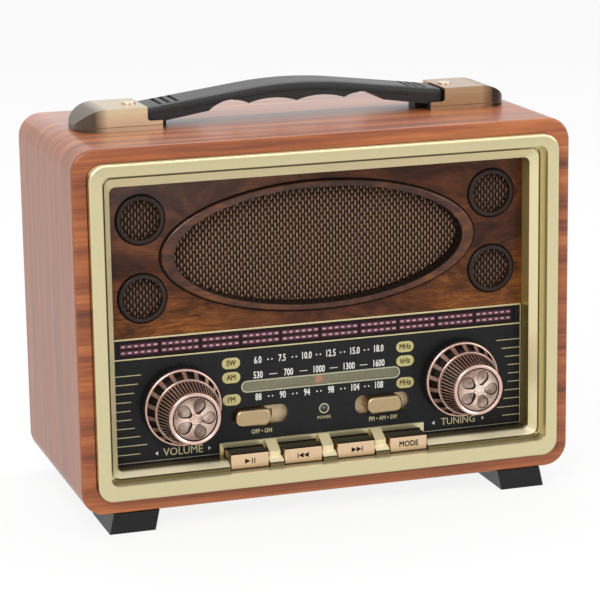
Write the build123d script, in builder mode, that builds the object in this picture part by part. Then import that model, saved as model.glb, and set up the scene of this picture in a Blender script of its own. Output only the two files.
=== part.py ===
from build123d import *
import os
from math import asin, atan2, cos, degrees, hypot, pi, radians, sin

# Retro tabletop radio, in millimetres: X to the right, Y to the back, Z up, feet on Z = 0.
# Depths run back from the cabinet's front edge, heights run up from the cabinet's bottom face.

# Cabinet
CABINET_WIDTH = 250.0
CABINET_HEIGHT = 177.0
CABINET_DEPTH = 118.0
CABINET_CORNER = 11.5
CABINET_EDGE = 1.5
WALL = 7.0
OPENING_CORNER = 8.0
BLOCK_SIZE = 13.0
BLOCK_LENGTH = 16.0

# Clearances
SEAT_GAP = 0.25
RUN_GAP = 0.5
STOP_GAP = 0.3
SHAFT_GAP = 0.05

# Front bezel
BEZEL_PROUD = 4.8
BEZEL_EDGE = 1.2
BAND_SIDE = 6.5
BAND_TOP = 5.6
BAND_LOW = 7.7
BAND_CORNER = 4.0
LEDGE_START = 1.3
LEDGE_END = 5.2
LEDGE_SIDE = 5.5
LEDGE_TOP = 6.9
LEDGE_LOW = 4.1
LEDGE_CORNER = 3.0
LIP_INSET = 1.4
LIP_GROOVE = 0.9
LIP_GROOVE_DEPTH = 1.4
PANEL_DEPTH = 14.5
PANEL_THICKNESS = 2.5
PLATE_MARGIN = 3.0
PLATE_JOINT = 0.2
BOSS_INSET = 7.0
POCKET_DEPTH = 6.0
POCKET_WALL = 2.2

# Baffle, cloth and small grilles
SPLIT_SHARE = 0.4605
OVAL_RAISE = 0.7
OVAL_SIDE_INSET = 26.2
OVAL_TOP_INSET = 6.25
OVAL_RIM_WIDTH = 6.3
OVAL_RIM_HEIGHT = 2.9
OVAL_PROUD = 1.8
OVAL_COLLAR = 1.5
OVAL_TAPER = 1.0
CLOTH_DEPTH = 20.0
CLOTH_THICKNESS = 1.0
CLOTH_PITCH = 6.4
CLOTH_GAP = 3.4
CLOTH_BORDER = 4.0
GRILLE_INSET = 16.8
GRILLE_TOP_INSET = 7.25
GRILLE_RADIUS = 11.7
GRILLE_INNER = 9.8
GRILLE_PROUD = 1.3
GRILLE_COLLAR = 0.9
GRILLE_PITCH = 4.6
GRILLE_GAP = 2.4
GRILLE_BORDER = 2.4

# Loudspeaker
SPEAKER_MARGIN = 7.25
SPEAKER_RIM = 6.0
SPEAKER_FLANGE = 1.4
SPEAKER_STANDOFF = 1.0
BASKET_DEPTH = 20.0
BASKET_WALL = 1.2
BASKET_WINDOWS = 4
BASKET_NECK = 18.0
BASKET_WINDOW_SHARE = 0.7
MAGNET_RADIUS = 22.5
MAGNET_THICKNESS = 14.0
CONE_WALL = 0.8
CONE_NECK = 11.0
SURROUND = 3.0
DUST_CAP_DEPTH = 10.0
DUST_CAP_RISE = 4.0
POST_RADIUS = 3.5

# Dial panel
STRIP_DROP = 9.2
STRIP_HEIGHT = 8.6
STRIP_INSET = 4.0
LIP = 1.5
LIP_THICKNESS = 1.2
WINDOW_INSET = 31.7
WINDOW_HEIGHT = 4.6
WINDOW_RAISE = 5.5
LED_X = 1.2
LED_DROP = 9.3
LED_RADIUS = 1.7

# Knobs
KNOB_INSET = 34.0
KNOB_HEIGHT = 47.0
KNOB_STANDOFF = 0.6
SKIRT_RADIUS = 19.6
SKIRT_THICKNESS = 4.8
SKIRT_TEETH = 48
RING_RADIUS = 19.2
RING_THICKNESS = 1.5
WINDOW_CONE_RADIUS = 18.4
WINDOW_CONE_LENGTH = 6.6
WINDOW_COUNT = 18
WINDOW_SHARE = 0.6
COLLAR_RADIUS = 16.2
BARREL_BASE = 15.4
BARREL_LENGTH = 10.6
BARREL_RIBS = 54
FRONT_RADIUS = 12.8
FRONT_RING = 2.2
FRONT_BULGE = 1.3
FRONT_LIP = 1.7
CAP_RECESS = 1.8
CAP_CROWN = 2.4
CAP_EDGE = 0.9
CAP_SPOKES = 5
CAP_OPENING_INNER = 4.3
CAP_OPENING_NARROW = 1.6
CAP_OPENING_OUTER = 6.9
CAP_OPENING_WIDE = 2.9
RIB_DEPTH = 0.9
SHAFT_RADIUS = 3.0
POT_RADIUS = 8.5
POT_DEPTH = 8.0
POT_BUSH = 4.5

# Tuning drive
TUNING_HALF_TURN = 135.6
DRUM_THICKNESS = 3.0
DRUM_DEPTH = 25.4
CORD_RADIUS = 0.5
PIN_RADIUS = 2.0
PIN_SHOULDER = 1.0
POINTER_MARGIN = 4.1
RAIL_RADIUS = 1.2
RAIL_RAISE = 11.6
RAIL_BEHIND = 5.0
NEEDLE_WIDTH = 1.2
CARRIAGE = 6.0
CAPACITOR_SIZE = 20.0
BOARD_DEPTH = 38.0
BOARD_THICKNESS = 1.6
BOARD_LOW = 27.0
BOARD_TOP = 70.0
BOARD_POST_INSET = 14.0

# Slide switches
SLOT_LENGTH = 28.4
SLOT_HEIGHT = 9.4
SLOT_ROUND = 0.42
SLOT_INSET = 40.4
SLOT_DROP = 9.6
SLIDER_LENGTH = 18.2
SLIDER_PROUD = 4.3
SLIDER_CROWN = 1.2
SWITCH_DEPTH = 7.5
STEM_LENGTH = 4.0
STEM_HEIGHT = 3.0
STEM_REACH = 2.0

# Keys
KEY_COUNT = 4
KEY_PITCH = 27.3
KEY_WIDTH = 19.2
KEY_LOW = 15.0
KEY_HEIGHT = 7.6
KEY_FRONT = 2.0
KEY_TRAVEL = 1.0
KEY_FLANGE = 1.8
KEY_FLANGE_THICKNESS = 1.5
PLUNGER_RADIUS = 1.5
PLUNGER_LENGTH = 2.4
HOOD_HALF_WIDTH = 53.0
HOOD_TOP = 25.4
HOOD_DEPTH = 1.5
GUSSET_WIDTH = 5.6
GUSSET_HEIGHT = 2.5
GUSSET_ROOT = 1.0
TACT_SIZE = 6.0
TACT_BODY = 2.5
TACT_BUTTON = 1.0
KEY_POST_RADIUS = 1.8

# Handle
BRACKET_INSET = 14.0
BRACKET_LENGTH = 42.0
BRACKET_WIDTH = 31.0
BRACKET_HEIGHT = 11.0
BRACKET_CORNER = 12.0
BRACKET_WALL = 1.6
BRACKET_FLAT = 28.0
BRACKET_TOE = 3.0
BRACKET_BULGE = 1.4
BRACKET_NOTCH = 7.5
BRACKET_NOTCH_HEIGHT = 4.2
BASE_REACH = 4.5
BASE_TONGUE = 9.0
BASE_THICKNESS = 3.0
GRIP_WIDTH = 24.0
STRAP_LENGTH = 16.4
GRIP_PEAK = 19.8
GRIP_CREST_RADIUS = 195.0
GRIP_ENTRY = 6.6
GRIP_SHOULDER_HEIGHT = 10.2
GRIP_FLAT_INSET = 24.0
GRIP_FLAT_HEIGHT = 6.7
FINGER_SHARE = 0.547
FINGER_CUSP = 9.2
FINGER_RISE = 2.0
GRIP_EDGE = 2.5
GROOVE_DROP = 3.6
GROOVE_WIDTH = 0.8
GROOVE_DEPTH = 0.7
GRIP_RIB = 1.8
GRIP_RIB_PITCH = 4.2
GRIP_RIB_COUNT = 3
GRIP_RIB_INSET = 15.6
RIVET_INSET = 13.0
RIVET_RADIUS = 2.2
RIVET_HEAD = 3.6
RIVET_HEAD_HEIGHT = 1.0
HANDLE_SCREW_INSET = 8.0
HANDLE_SCREW_SPREAD = 16.0

# Feet
FOOT_HEIGHT = 10.0
FOOT_WIDTH = 22.6
FOOT_LENGTH = 36.0
FOOT_INSET = 15.0
FOOT_SPLAY = 2.2
FOOT_RECESS = 4.0
FOOT_RECESS_RADIUS = 4.5

# Screws
SCREW_RADIUS = 1.5
SCREW_HEAD = 3.0
SCREW_HEAD_HEIGHT = 2.0
SCREW_HEAD_TAPER = 15.0
SCREW_LENGTH = 10.0
SCREW_TIP = 0.5

# Rear panel and sockets
REAR_INSET = 2.0
REAR_THICKNESS = 4.0
VENT_LENGTH = 44.0
VENT_WIDTH = 3.0
VENT_PITCH = 8.0
VENT_ROWS = 6
SOCKET_HEIGHT = 38.0
USB_INSET = 38.0
USB_WIDTH = 14.4
USB_HEIGHT = 7.0
USB_DEPTH = 14.0
CHARGE_STEP = 25.0
CHARGE_WIDTH = 10.6
CHARGE_HEIGHT = 4.8
CHARGE_DEPTH = 8.0
AUX_STEP = 23.0
AUX_RADIUS = 4.0
AUX_BORE = 1.8
AUX_DEPTH = 13.0
SOCKET_LIP = 1.5
SOCKET_WALL = 0.8

# Telescopic aerial
AERIAL_INSET = 22.0
AERIAL_DROP = 12.0
AERIAL_BASE_WIDTH = 16.0
AERIAL_BASE_HEIGHT = 20.0
AERIAL_BASE_THICKNESS = 3.0
AERIAL_STANDOFF = 2.6
KNUCKLE_RADIUS = 5.5
KNUCKLE_THICKNESS = 6.2
AERIAL_LENGTH = 165.0
AERIAL_SECTIONS = 3
AERIAL_RADIUS = 3.0
AERIAL_WALL = 0.45
AERIAL_GAP = 0.07
AERIAL_STEP = 1.0
AERIAL_TIP_RADIUS = 3.0
AERIAL_TIP_LENGTH = 7.0

# Battery and ferrite rod
CELL_RADIUS = 9.2
CELL_LENGTH = 65.0
TRAY_WALL = 2.0
TRAY_HEIGHT = 10.0
TRAY_GAP = 7.2
FERRITE_RADIUS = 5.0
FERRITE_LENGTH = 120.0
FERRITE_INSET = 32.0
FERRITE_DROP = 12.0
COIL_RADIUS = 7.5
COIL_LENGTH = 32.0
HOLDER_INSET = 15.0
HOLDER_THICKNESS = 8.0
HOLDER_WIDTH = 16.0

# Places worked out from the sizes above
KNOB_CONE_START = KNOB_STANDOFF + SKIRT_THICKNESS + RING_THICKNESS
KNOB_BARREL_START = KNOB_CONE_START + WINDOW_CONE_LENGTH + RING_THICKNESS
KNOB_RING_START = KNOB_BARREL_START + BARREL_LENGTH
KNOB_FACE = KNOB_RING_START + FRONT_RING
KNOB_TOP = KNOB_FACE - CAP_RECESS + CAP_CROWN
REAR_FACE = CABINET_DEPTH - REAR_INSET
AERIAL_DEPTH = REAR_FACE + AERIAL_BASE_THICKNESS + AERIAL_STANDOFF + STOP_GAP + KNUCKLE_THICKNESS / 2
AERIAL_REACH = AERIAL_DEPTH + KNUCKLE_THICKNESS / 2 + AERIAL_STEP
CABINET_FRONT = (KNOB_TOP - PANEL_DEPTH - AERIAL_REACH) / 2
CABINET_TOP = FOOT_HEIGHT + CABINET_HEIGHT
FOOT_X = CABINET_WIDTH / 2 - FOOT_INSET - FOOT_WIDTH / 2
FOOT_Y = [CABINET_FRONT + depth for depth in (FOOT_LENGTH / 2, CABINET_DEPTH - FOOT_LENGTH / 2)]
INNER_HALF_WIDTH = CABINET_WIDTH / 2 - WALL
INNER_TOP = CABINET_HEIGHT - WALL
PANEL_BACK = PANEL_DEPTH + PANEL_THICKNESS
OPENING_HALF_WIDTH = INNER_HALF_WIDTH - BAND_SIDE - LEDGE_SIDE
OPENING_TOP = INNER_TOP - BAND_TOP - LEDGE_TOP
OPENING_LOW = WALL + BAND_LOW + LEDGE_LOW
SPLIT_HEIGHT = CABINET_HEIGHT * SPLIT_SHARE
STRIP_LOW = SPLIT_HEIGHT - STRIP_DROP
BAFFLE_HALF_HEIGHT = (OPENING_TOP - SPLIT_HEIGHT) / 2
PLATE_HALF_WIDTH = INNER_HALF_WIDTH - PLATE_MARGIN
OVAL_HEIGHT = SPLIT_HEIGHT + BAFFLE_HALF_HEIGHT + OVAL_RAISE
OVAL_HALF_WIDTH = OPENING_HALF_WIDTH - OVAL_SIDE_INSET
OVAL_HALF_HEIGHT = BAFFLE_HALF_HEIGHT - OVAL_TOP_INSET
MOUTH_HALF_WIDTH = OVAL_HALF_WIDTH - OVAL_RIM_WIDTH
MOUTH_HALF_HEIGHT = OVAL_HALF_HEIGHT - OVAL_RIM_HEIGHT
CLOTH_HALF_WIDTH = MOUTH_HALF_WIDTH + OVAL_COLLAR
CLOTH_HALF_HEIGHT = MOUTH_HALF_HEIGHT + OVAL_COLLAR
GRILLE_X = OPENING_HALF_WIDTH - GRILLE_INSET
GRILLE_SPREAD = BAFFLE_HALF_HEIGHT - GRILLE_RADIUS - GRILLE_TOP_INSET
KNOB_X = OPENING_HALF_WIDTH - KNOB_INSET
SLOT_X = KNOB_X - SLOT_INSET
SLOT_CENTRE = KNOB_HEIGHT - SLOT_DROP
LED_HEIGHT = KNOB_HEIGHT - LED_DROP
WINDOW_WIDTH = 2 * (KNOB_X - WINDOW_INSET)
WINDOW_CENTRE = KNOB_HEIGHT + WINDOW_RAISE
RAIL_HEIGHT = KNOB_HEIGHT + RAIL_RAISE
POINTER_TRAVEL = WINDOW_WIDTH / 2 - POINTER_MARGIN
DRUM_RADIUS = POINTER_TRAVEL / radians(TUNING_HALF_TURN)
IDLER_X = -(POINTER_TRAVEL + CARRIAGE / 2 + RUN_GAP + DRUM_RADIUS + CORD_RADIUS)
HANDLE_Y = CABINET_FRONT + CABINET_DEPTH / 2
BRACKET_OUTER = CABINET_WIDTH / 2 - BRACKET_INSET
BRACKET_INNER = BRACKET_OUTER - BRACKET_LENGTH
BRACKET_FLAT_END = BRACKET_INNER + BRACKET_FLAT
BRACKET_NOTCH_END = BRACKET_INNER + BRACKET_NOTCH
GRIP_SHOULDER = BRACKET_INNER + GRIP_ENTRY
GRIP_END = GRIP_SHOULDER + STRAP_LENGTH
GRIP_FLAT_END = BRACKET_INNER - GRIP_FLAT_INSET
GRIP_RIB_START = GRIP_SHOULDER - GRIP_RIB_INSET
FINGER_PITCH = GRIP_FLAT_END * FINGER_SHARE
RIVET_X = BRACKET_INNER + RIVET_INSET
HANDLE_SCREW_X = BRACKET_OUTER - HANDLE_SCREW_INSET
SPEAKER_DEPTH = CLOTH_DEPTH + CLOTH_THICKNESS + SPEAKER_STANDOFF
SPEAKER_SIZE = 2 * (OVAL_HALF_HEIGHT + SPEAKER_MARGIN)
SPEAKER_THROAT = SPEAKER_SIZE / 2 - SPEAKER_RIM
SPEAKER_HOLES = SPEAKER_SIZE - 2 * SPEAKER_RIM
RAIL_DEPTH = PANEL_BACK + RAIL_BEHIND
AERIAL_X = INNER_HALF_WIDTH - AERIAL_INSET
AERIAL_HEIGHT = INNER_TOP - AERIAL_DROP
USB_X = USB_INSET - INNER_HALF_WIDTH
CHARGE_X = USB_X + CHARGE_STEP
AUX_X = CHARGE_X + AUX_STEP
FERRITE_DEPTH = REAR_FACE - FERRITE_INSET
HOLDER_X = FERRITE_LENGTH / 2 - HOLDER_INSET
KEY_BOARD_DEPTH = PANEL_BACK + STOP_GAP + KEY_FLANGE_THICKNESS + PLUNGER_LENGTH
KEY_BOARD_DEPTH += KEY_TRAVEL + STOP_GAP + TACT_BODY + TACT_BUTTON
CORNER_SCREWS = [
    (side * (INNER_HALF_WIDTH - BOSS_INSET), height)
    for side in (-1, 1)
    for height in (WALL + BOSS_INSET, INNER_TOP - BOSS_INSET)
]
GRILLE_PLACES = [
    (side * GRILLE_X, OVAL_HEIGHT + step * GRILLE_SPREAD) for side in (-1, 1) for step in (-1, 1)
]
KEY_CENTRE = KEY_LOW + KEY_HEIGHT / 2
KEY_PLACES = [(KEY_PITCH * (index - (KEY_COUNT - 1) / 2), KEY_CENTRE) for index in range(KEY_COUNT)]
SPEAKER_PLACES = [
    (x * SPEAKER_HOLES / 2, OVAL_HEIGHT + z * SPEAKER_HOLES / 2) for x in (-1, 1) for z in (-1, 1)
]
BOARD_PLACES = [
    (side * (OPENING_HALF_WIDTH - BOARD_POST_INSET), height)
    for side in (-1, 1)
    for height in (BOARD_LOW + POST_RADIUS, BOARD_TOP - POST_RADIUS)
]
SQUARE_SOCKETS = (
    (USB_X, USB_WIDTH, USB_HEIGHT, USB_DEPTH),
    (CHARGE_X, CHARGE_WIDTH, CHARGE_HEIGHT, CHARGE_DEPTH),
)
KEY_POST_PLACES = [(KEY_PITCH * step, KEY_CENTRE) for step in (-KEY_COUNT / 2, 0, KEY_COUNT / 2)]


def face_at(depth, x=0.0, height=0.0):
    """Plane parallel to the front: local x to the right, local y up, normal to the viewer."""
    origin = (x, CABINET_FRONT + depth, FOOT_HEIGHT + height)
    return Plane(origin=origin, x_dir=(1, 0, 0), z_dir=(0, -1, 0))


def back_at(depth):
    """Plane facing the back of the radio: local x to the right, local y down."""
    return Plane(face_at(depth).origin, x_dir=(1, 0, 0), z_dir=(0, 1, 0))


def along_at(depth, height, x=0.0, heading=1):
    """Plane across the radio's length, at the depth and height of a lengthwise piece."""
    return Plane(face_at(depth, x, height).origin, x_dir=(0, 1, 0), z_dir=(heading, 0, 0))


def turn_plane(depth, x, height):
    """Plane for a revolved profile: local x is the radius, local y runs towards the viewer."""
    origin = (x, CABINET_FRONT + depth, FOOT_HEIGHT + height)
    return Plane(origin=origin, x_dir=(1, 0, 0), z_dir=(0, 0, -1))


def turn_axis(plane):
    """Axis of a revolved profile on a turn plane."""
    return Axis(plane.origin, (0, -1, 0))


def handle_plane(side=1):
    """Upright plane along the handle: local x out towards one end, local y up from the cabinet's top."""
    return Plane(origin=(0, HANDLE_Y, CABINET_TOP), x_dir=(side, 0, 0), z_dir=(0, -side, 0))


def top_plane(height=0.0):
    """Level plane above the cabinet's top, centred on the handle."""
    return Plane(origin=(0, HANDLE_Y, CABINET_TOP + height), x_dir=(1, 0, 0), z_dir=(0, 0, 1))


def inset_rectangle(side, low, top, radius, mode=Mode.ADD):
    """Rounded rectangle set in from the cabinet's sides, bottom and top."""
    height = CABINET_HEIGHT - low - top
    with Locations((0, low + height / 2)):
        RectangleRounded(CABINET_WIDTH - 2 * side, height, radius, mode=mode)


def band_rectangle(inset=0.0, mode=Mode.ADD):
    """Inner outline of the bezel's band, set in further by a given distance."""
    side, low, top = [WALL + band + inset for band in (BAND_SIDE, BAND_LOW, BAND_TOP)]
    inset_rectangle(side, low, top, BAND_CORNER, mode)


def span_rectangle(half_width, low, top, x=0.0):
    """Rectangle between two heights."""
    with Locations((x, (low + top) / 2)):
        Rectangle(2 * half_width, top - low)


def save(part, label):
    """Names a finished piece and writes it."""
    part.label = label
    export_step(part, f"parts/{label}.step")


def add_screws(plane, places, length):
    """Adds pan-head screws whose heads stand on the plane and whose shanks run behind it."""
    with BuildSketch(plane) as shanks:
        with Locations(*places):
            Circle(SCREW_RADIUS)
    extrude(shanks.sketch, amount=-length)
    with BuildSketch(plane) as heads:
        with Locations(*places):
            Circle(SCREW_HEAD)
    extrude(heads.sketch, amount=SCREW_HEAD_HEIGHT, taper=SCREW_HEAD_TAPER)


os.makedirs("parts", exist_ok=True)

# Wooden cabinet: a tube of board with glued corner blocks at the front and the back
with BuildPart() as cabinet_shell:
    with BuildSketch(face_at(0)):
        inset_rectangle(0, 0, 0, CABINET_CORNER)
        with Locations((0, CABINET_HEIGHT / 2)):
            RectangleRounded(
                2 * INNER_HALF_WIDTH, CABINET_HEIGHT - 2 * WALL, OPENING_CORNER, mode=Mode.SUBTRACT
            )
    extrude(amount=-CABINET_DEPTH)
    for end_face in (cabinet_shell.faces().sort_by(Axis.Y)[0], cabinet_shell.faces().sort_by(Axis.Y)[-1]):
        fillet(end_face.outer_wire().edges(), CABINET_EDGE)
    for block_depth in (PANEL_BACK, REAR_FACE - REAR_THICKNESS - BLOCK_LENGTH):
        with BuildSketch(face_at(block_depth)):
            for side in (-1, 1):
                for low in (WALL, INNER_TOP - BLOCK_SIZE):
                    with Locations((side * (INNER_HALF_WIDTH - BLOCK_SIZE / 2), low + BLOCK_SIZE / 2)):
                        Rectangle(BLOCK_SIZE, BLOCK_SIZE)
        extrude(amount=-BLOCK_LENGTH)
    with BuildSketch(face_at(PANEL_BACK)):
        with Locations(*CORNER_SCREWS):
            Circle(SCREW_RADIUS + SHAFT_GAP)
    extrude(amount=-BLOCK_LENGTH, mode=Mode.SUBTRACT)
    with BuildSketch(face_at(REAR_FACE - REAR_THICKNESS)):
        with Locations(*CORNER_SCREWS):
            Circle(SCREW_RADIUS + SHAFT_GAP)
    extrude(amount=SCREW_LENGTH, mode=Mode.SUBTRACT)
    with BuildSketch(top_plane()):
        for side in (-1, 1):
            with Locations((side * HANDLE_SCREW_X, 0)):
                with GridLocations(1, HANDLE_SCREW_SPREAD, 1, 2):
                    Circle(SCREW_RADIUS + SHAFT_GAP)
            with Locations((side * RIVET_X, 0)):
                Circle(RIVET_RADIUS + SHAFT_GAP)
    extrude(amount=-WALL, mode=Mode.SUBTRACT)
    with BuildSketch(Plane.XY.offset(FOOT_HEIGHT)):
        for side in (-1, 1):
            for foot_y in FOOT_Y:
                with Locations((side * FOOT_X, foot_y)):
                    Circle(SCREW_RADIUS + SHAFT_GAP)
    extrude(amount=WALL, mode=Mode.SUBTRACT)
save(cabinet_shell.part, "cabinet_shell")

# Gold bezel: proud band, step, groove, sloped lip, inner wall, key hood with gussets, and screw bosses
with BuildPart() as front_bezel:
    with BuildSketch(face_at(PANEL_DEPTH)):
        inset_rectangle(WALL + SEAT_GAP, WALL + SEAT_GAP, WALL + SEAT_GAP, OPENING_CORNER - SEAT_GAP)
    extrude(amount=PANEL_DEPTH + BEZEL_PROUD)
    fillet(front_bezel.faces().sort_by(Axis.Y)[0].edges(), BEZEL_EDGE)
    with BuildSketch(face_at(-BEZEL_PROUD)):
        band_rectangle()
    extrude(amount=-(BEZEL_PROUD + LEDGE_START), mode=Mode.SUBTRACT)
    with BuildSketch(face_at(LEDGE_START)):
        band_rectangle(LIP_INSET)
        band_rectangle(LIP_INSET + LIP_GROOVE, Mode.SUBTRACT)
    extrude(amount=-LIP_GROOVE_DEPTH, mode=Mode.SUBTRACT)
    with BuildSketch(face_at(LEDGE_START)):
        band_rectangle(LIP_INSET + LIP_GROOVE)
    with BuildSketch(face_at(LEDGE_END)):
        inset_rectangle(
            WALL + BAND_SIDE + LEDGE_SIDE, OPENING_LOW, WALL + BAND_TOP + LEDGE_TOP, LEDGE_CORNER
        )
    loft(mode=Mode.SUBTRACT)
    with BuildSketch(face_at(LEDGE_END)):
        inset_rectangle(
            WALL + BAND_SIDE + LEDGE_SIDE, OPENING_LOW, WALL + BAND_TOP + LEDGE_TOP, LEDGE_CORNER
        )
    extrude(amount=-(PANEL_DEPTH - LEDGE_END), mode=Mode.SUBTRACT)
    with BuildSketch(face_at(PANEL_DEPTH)):
        span_rectangle(HOOD_HALF_WIDTH, WALL + BAND_LOW, HOOD_TOP)
    extrude(amount=HOOD_DEPTH)
    for gap in range(1, KEY_COUNT):
        with BuildSketch(along_at(0, OPENING_LOW, KEY_PITCH * (gap - KEY_COUNT / 2))):
            Polygon(
                (LEDGE_END, -GUSSET_ROOT),
                (LEDGE_END, GUSSET_HEIGHT),
                (PANEL_DEPTH - HOOD_DEPTH, HOOD_TOP - OPENING_LOW),
                (PANEL_DEPTH, HOOD_TOP - OPENING_LOW),
                (PANEL_DEPTH, -GUSSET_ROOT),
                align=None,
            )
        extrude(amount=GUSSET_WIDTH / 2, both=True)
    with BuildSketch(face_at(PANEL_DEPTH)):
        with Locations(*KEY_PLACES):
            Rectangle(KEY_WIDTH + 2 * RUN_GAP, KEY_HEIGHT + 2 * RUN_GAP)
    extrude(amount=PANEL_DEPTH - LEDGE_START, mode=Mode.SUBTRACT)
    with BuildSketch(face_at(PANEL_DEPTH)):
        for side in (-1, 1):
            span_rectangle(
                (BAND_SIDE + LEDGE_SIDE - 2 * POCKET_WALL) / 2,
                OPENING_LOW,
                OPENING_TOP,
                side * (INNER_HALF_WIDTH - (BAND_SIDE + LEDGE_SIDE) / 2),
            )
        span_rectangle(OPENING_HALF_WIDTH, OPENING_TOP + POCKET_WALL, INNER_TOP - POCKET_WALL)
    extrude(amount=POCKET_DEPTH, mode=Mode.SUBTRACT)
    with BuildSketch(face_at(PANEL_DEPTH)):
        with Locations(*CORNER_SCREWS):
            Circle(SCREW_RADIUS + SHAFT_GAP)
    extrude(amount=SCREW_LENGTH, mode=Mode.SUBTRACT)
save(front_bezel.part, "front_bezel")

# Burl baffle with the oval mouth, four small grille holes and posts for the loudspeaker
with BuildPart() as speaker_baffle:
    with BuildSketch(face_at(PANEL_DEPTH)):
        span_rectangle(PLATE_HALF_WIDTH, SPLIT_HEIGHT + PLATE_JOINT / 2, INNER_TOP - PLATE_MARGIN)
        with Locations((0, OVAL_HEIGHT)):
            Ellipse(CLOTH_HALF_WIDTH + SEAT_GAP, CLOTH_HALF_HEIGHT + SEAT_GAP, mode=Mode.SUBTRACT)
        with Locations(*GRILLE_PLACES):
            Circle(GRILLE_INNER + GRILLE_COLLAR + SEAT_GAP, mode=Mode.SUBTRACT)
        with Locations(*CORNER_SCREWS):
            Circle(SCREW_RADIUS + SHAFT_GAP, mode=Mode.SUBTRACT)
    extrude(amount=-PANEL_THICKNESS)
    with BuildSketch(face_at(PANEL_BACK)):
        with Locations(*SPEAKER_PLACES):
            Circle(POST_RADIUS)
    extrude(amount=-(SPEAKER_DEPTH - PANEL_BACK))
    with BuildSketch(face_at(SPEAKER_DEPTH)):
        with Locations(*SPEAKER_PLACES):
            Circle(SCREW_RADIUS + SHAFT_GAP)
    extrude(amount=SPEAKER_DEPTH - PANEL_BACK, mode=Mode.SUBTRACT)
save(speaker_baffle.part, "speaker_baffle")

# Oval trim: raised rim with a tapered collar that carries the cloth
with BuildPart() as oval_trim:
    with BuildSketch(face_at(PANEL_DEPTH)):
        with Locations((0, OVAL_HEIGHT)):
            Ellipse(OVAL_HALF_WIDTH, OVAL_HALF_HEIGHT)
    extrude(amount=OVAL_PROUD)
    fillet(oval_trim.faces().sort_by(Axis.Y)[0].edges(), OVAL_PROUD / 2)
    with BuildSketch(face_at(PANEL_DEPTH)):
        with Locations((0, OVAL_HEIGHT)):
            Ellipse(CLOTH_HALF_WIDTH, CLOTH_HALF_HEIGHT)
    extrude(amount=-(CLOTH_DEPTH - PANEL_DEPTH))
    with BuildSketch(face_at(PANEL_DEPTH - OVAL_PROUD)):
        with Locations((0, OVAL_HEIGHT)):
            Ellipse(MOUTH_HALF_WIDTH, MOUTH_HALF_HEIGHT)
    with BuildSketch(face_at(CLOTH_DEPTH)):
        with Locations((0, OVAL_HEIGHT)):
            Ellipse(MOUTH_HALF_WIDTH - OVAL_TAPER, MOUTH_HALF_HEIGHT - OVAL_TAPER)
    loft(mode=Mode.SUBTRACT)
save(oval_trim.part, "oval_trim")


def gap_places(pitch, half_width, half_height):
    """Centres of the gaps of a square net that lie inside an oval."""
    columns = range(-int(half_width / pitch), int(half_width / pitch) + 1)
    rows = range(-int(half_height / pitch), int(half_height / pitch) + 1)
    places = [(column * pitch, row * pitch) for column in columns for row in rows]
    return [place for place in places if hypot(place[0] / half_width, place[1] / half_height) < 1]


# Open-weave cloth panel, one holed sheet
cloth_gaps = gap_places(CLOTH_PITCH, CLOTH_HALF_WIDTH - CLOTH_BORDER, CLOTH_HALF_HEIGHT - CLOTH_BORDER)
with BuildPart() as speaker_cloth:
    with BuildSketch(face_at(CLOTH_DEPTH, height=OVAL_HEIGHT)):
        Ellipse(CLOTH_HALF_WIDTH, CLOTH_HALF_HEIGHT)
        with Locations(*cloth_gaps):
            Rectangle(CLOTH_GAP, CLOTH_GAP, rotation=45, mode=Mode.SUBTRACT)
    extrude(amount=-CLOTH_THICKNESS)
save(speaker_cloth.part, "speaker_cloth")

# Small round grilles: raised rings with collars, each closed by a holed disc
with BuildPart() as grille_rings:
    with BuildSketch(face_at(PANEL_DEPTH)):
        with Locations(*GRILLE_PLACES):
            Circle(GRILLE_RADIUS)
    extrude(amount=GRILLE_PROUD)
    fillet(grille_rings.faces().group_by(Axis.Y)[0].edges(), GRILLE_PROUD / 2)
    with BuildSketch(face_at(PANEL_DEPTH)):
        with Locations(*GRILLE_PLACES):
            Circle(GRILLE_INNER + GRILLE_COLLAR)
    extrude(amount=-PANEL_THICKNESS)
    with BuildSketch(face_at(PANEL_BACK)):
        with Locations(*GRILLE_PLACES):
            Circle(GRILLE_INNER)
    extrude(amount=PANEL_THICKNESS + GRILLE_PROUD, mode=Mode.SUBTRACT)
save(grille_rings.part, "grille_rings")

grille_gaps = gap_places(GRILLE_PITCH, GRILLE_INNER - GRILLE_BORDER, GRILLE_INNER - GRILLE_BORDER)
with BuildPart() as grille_meshes:
    with BuildSketch(face_at(PANEL_BACK)):
        with Locations(*GRILLE_PLACES):
            Circle(GRILLE_INNER + GRILLE_COLLAR)
            with Locations(*grille_gaps):
                Rectangle(GRILLE_GAP, GRILLE_GAP, rotation=45, mode=Mode.SUBTRACT)
    extrude(amount=-CLOTH_THICKNESS)
save(grille_meshes.part, "grille_meshes")

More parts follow.
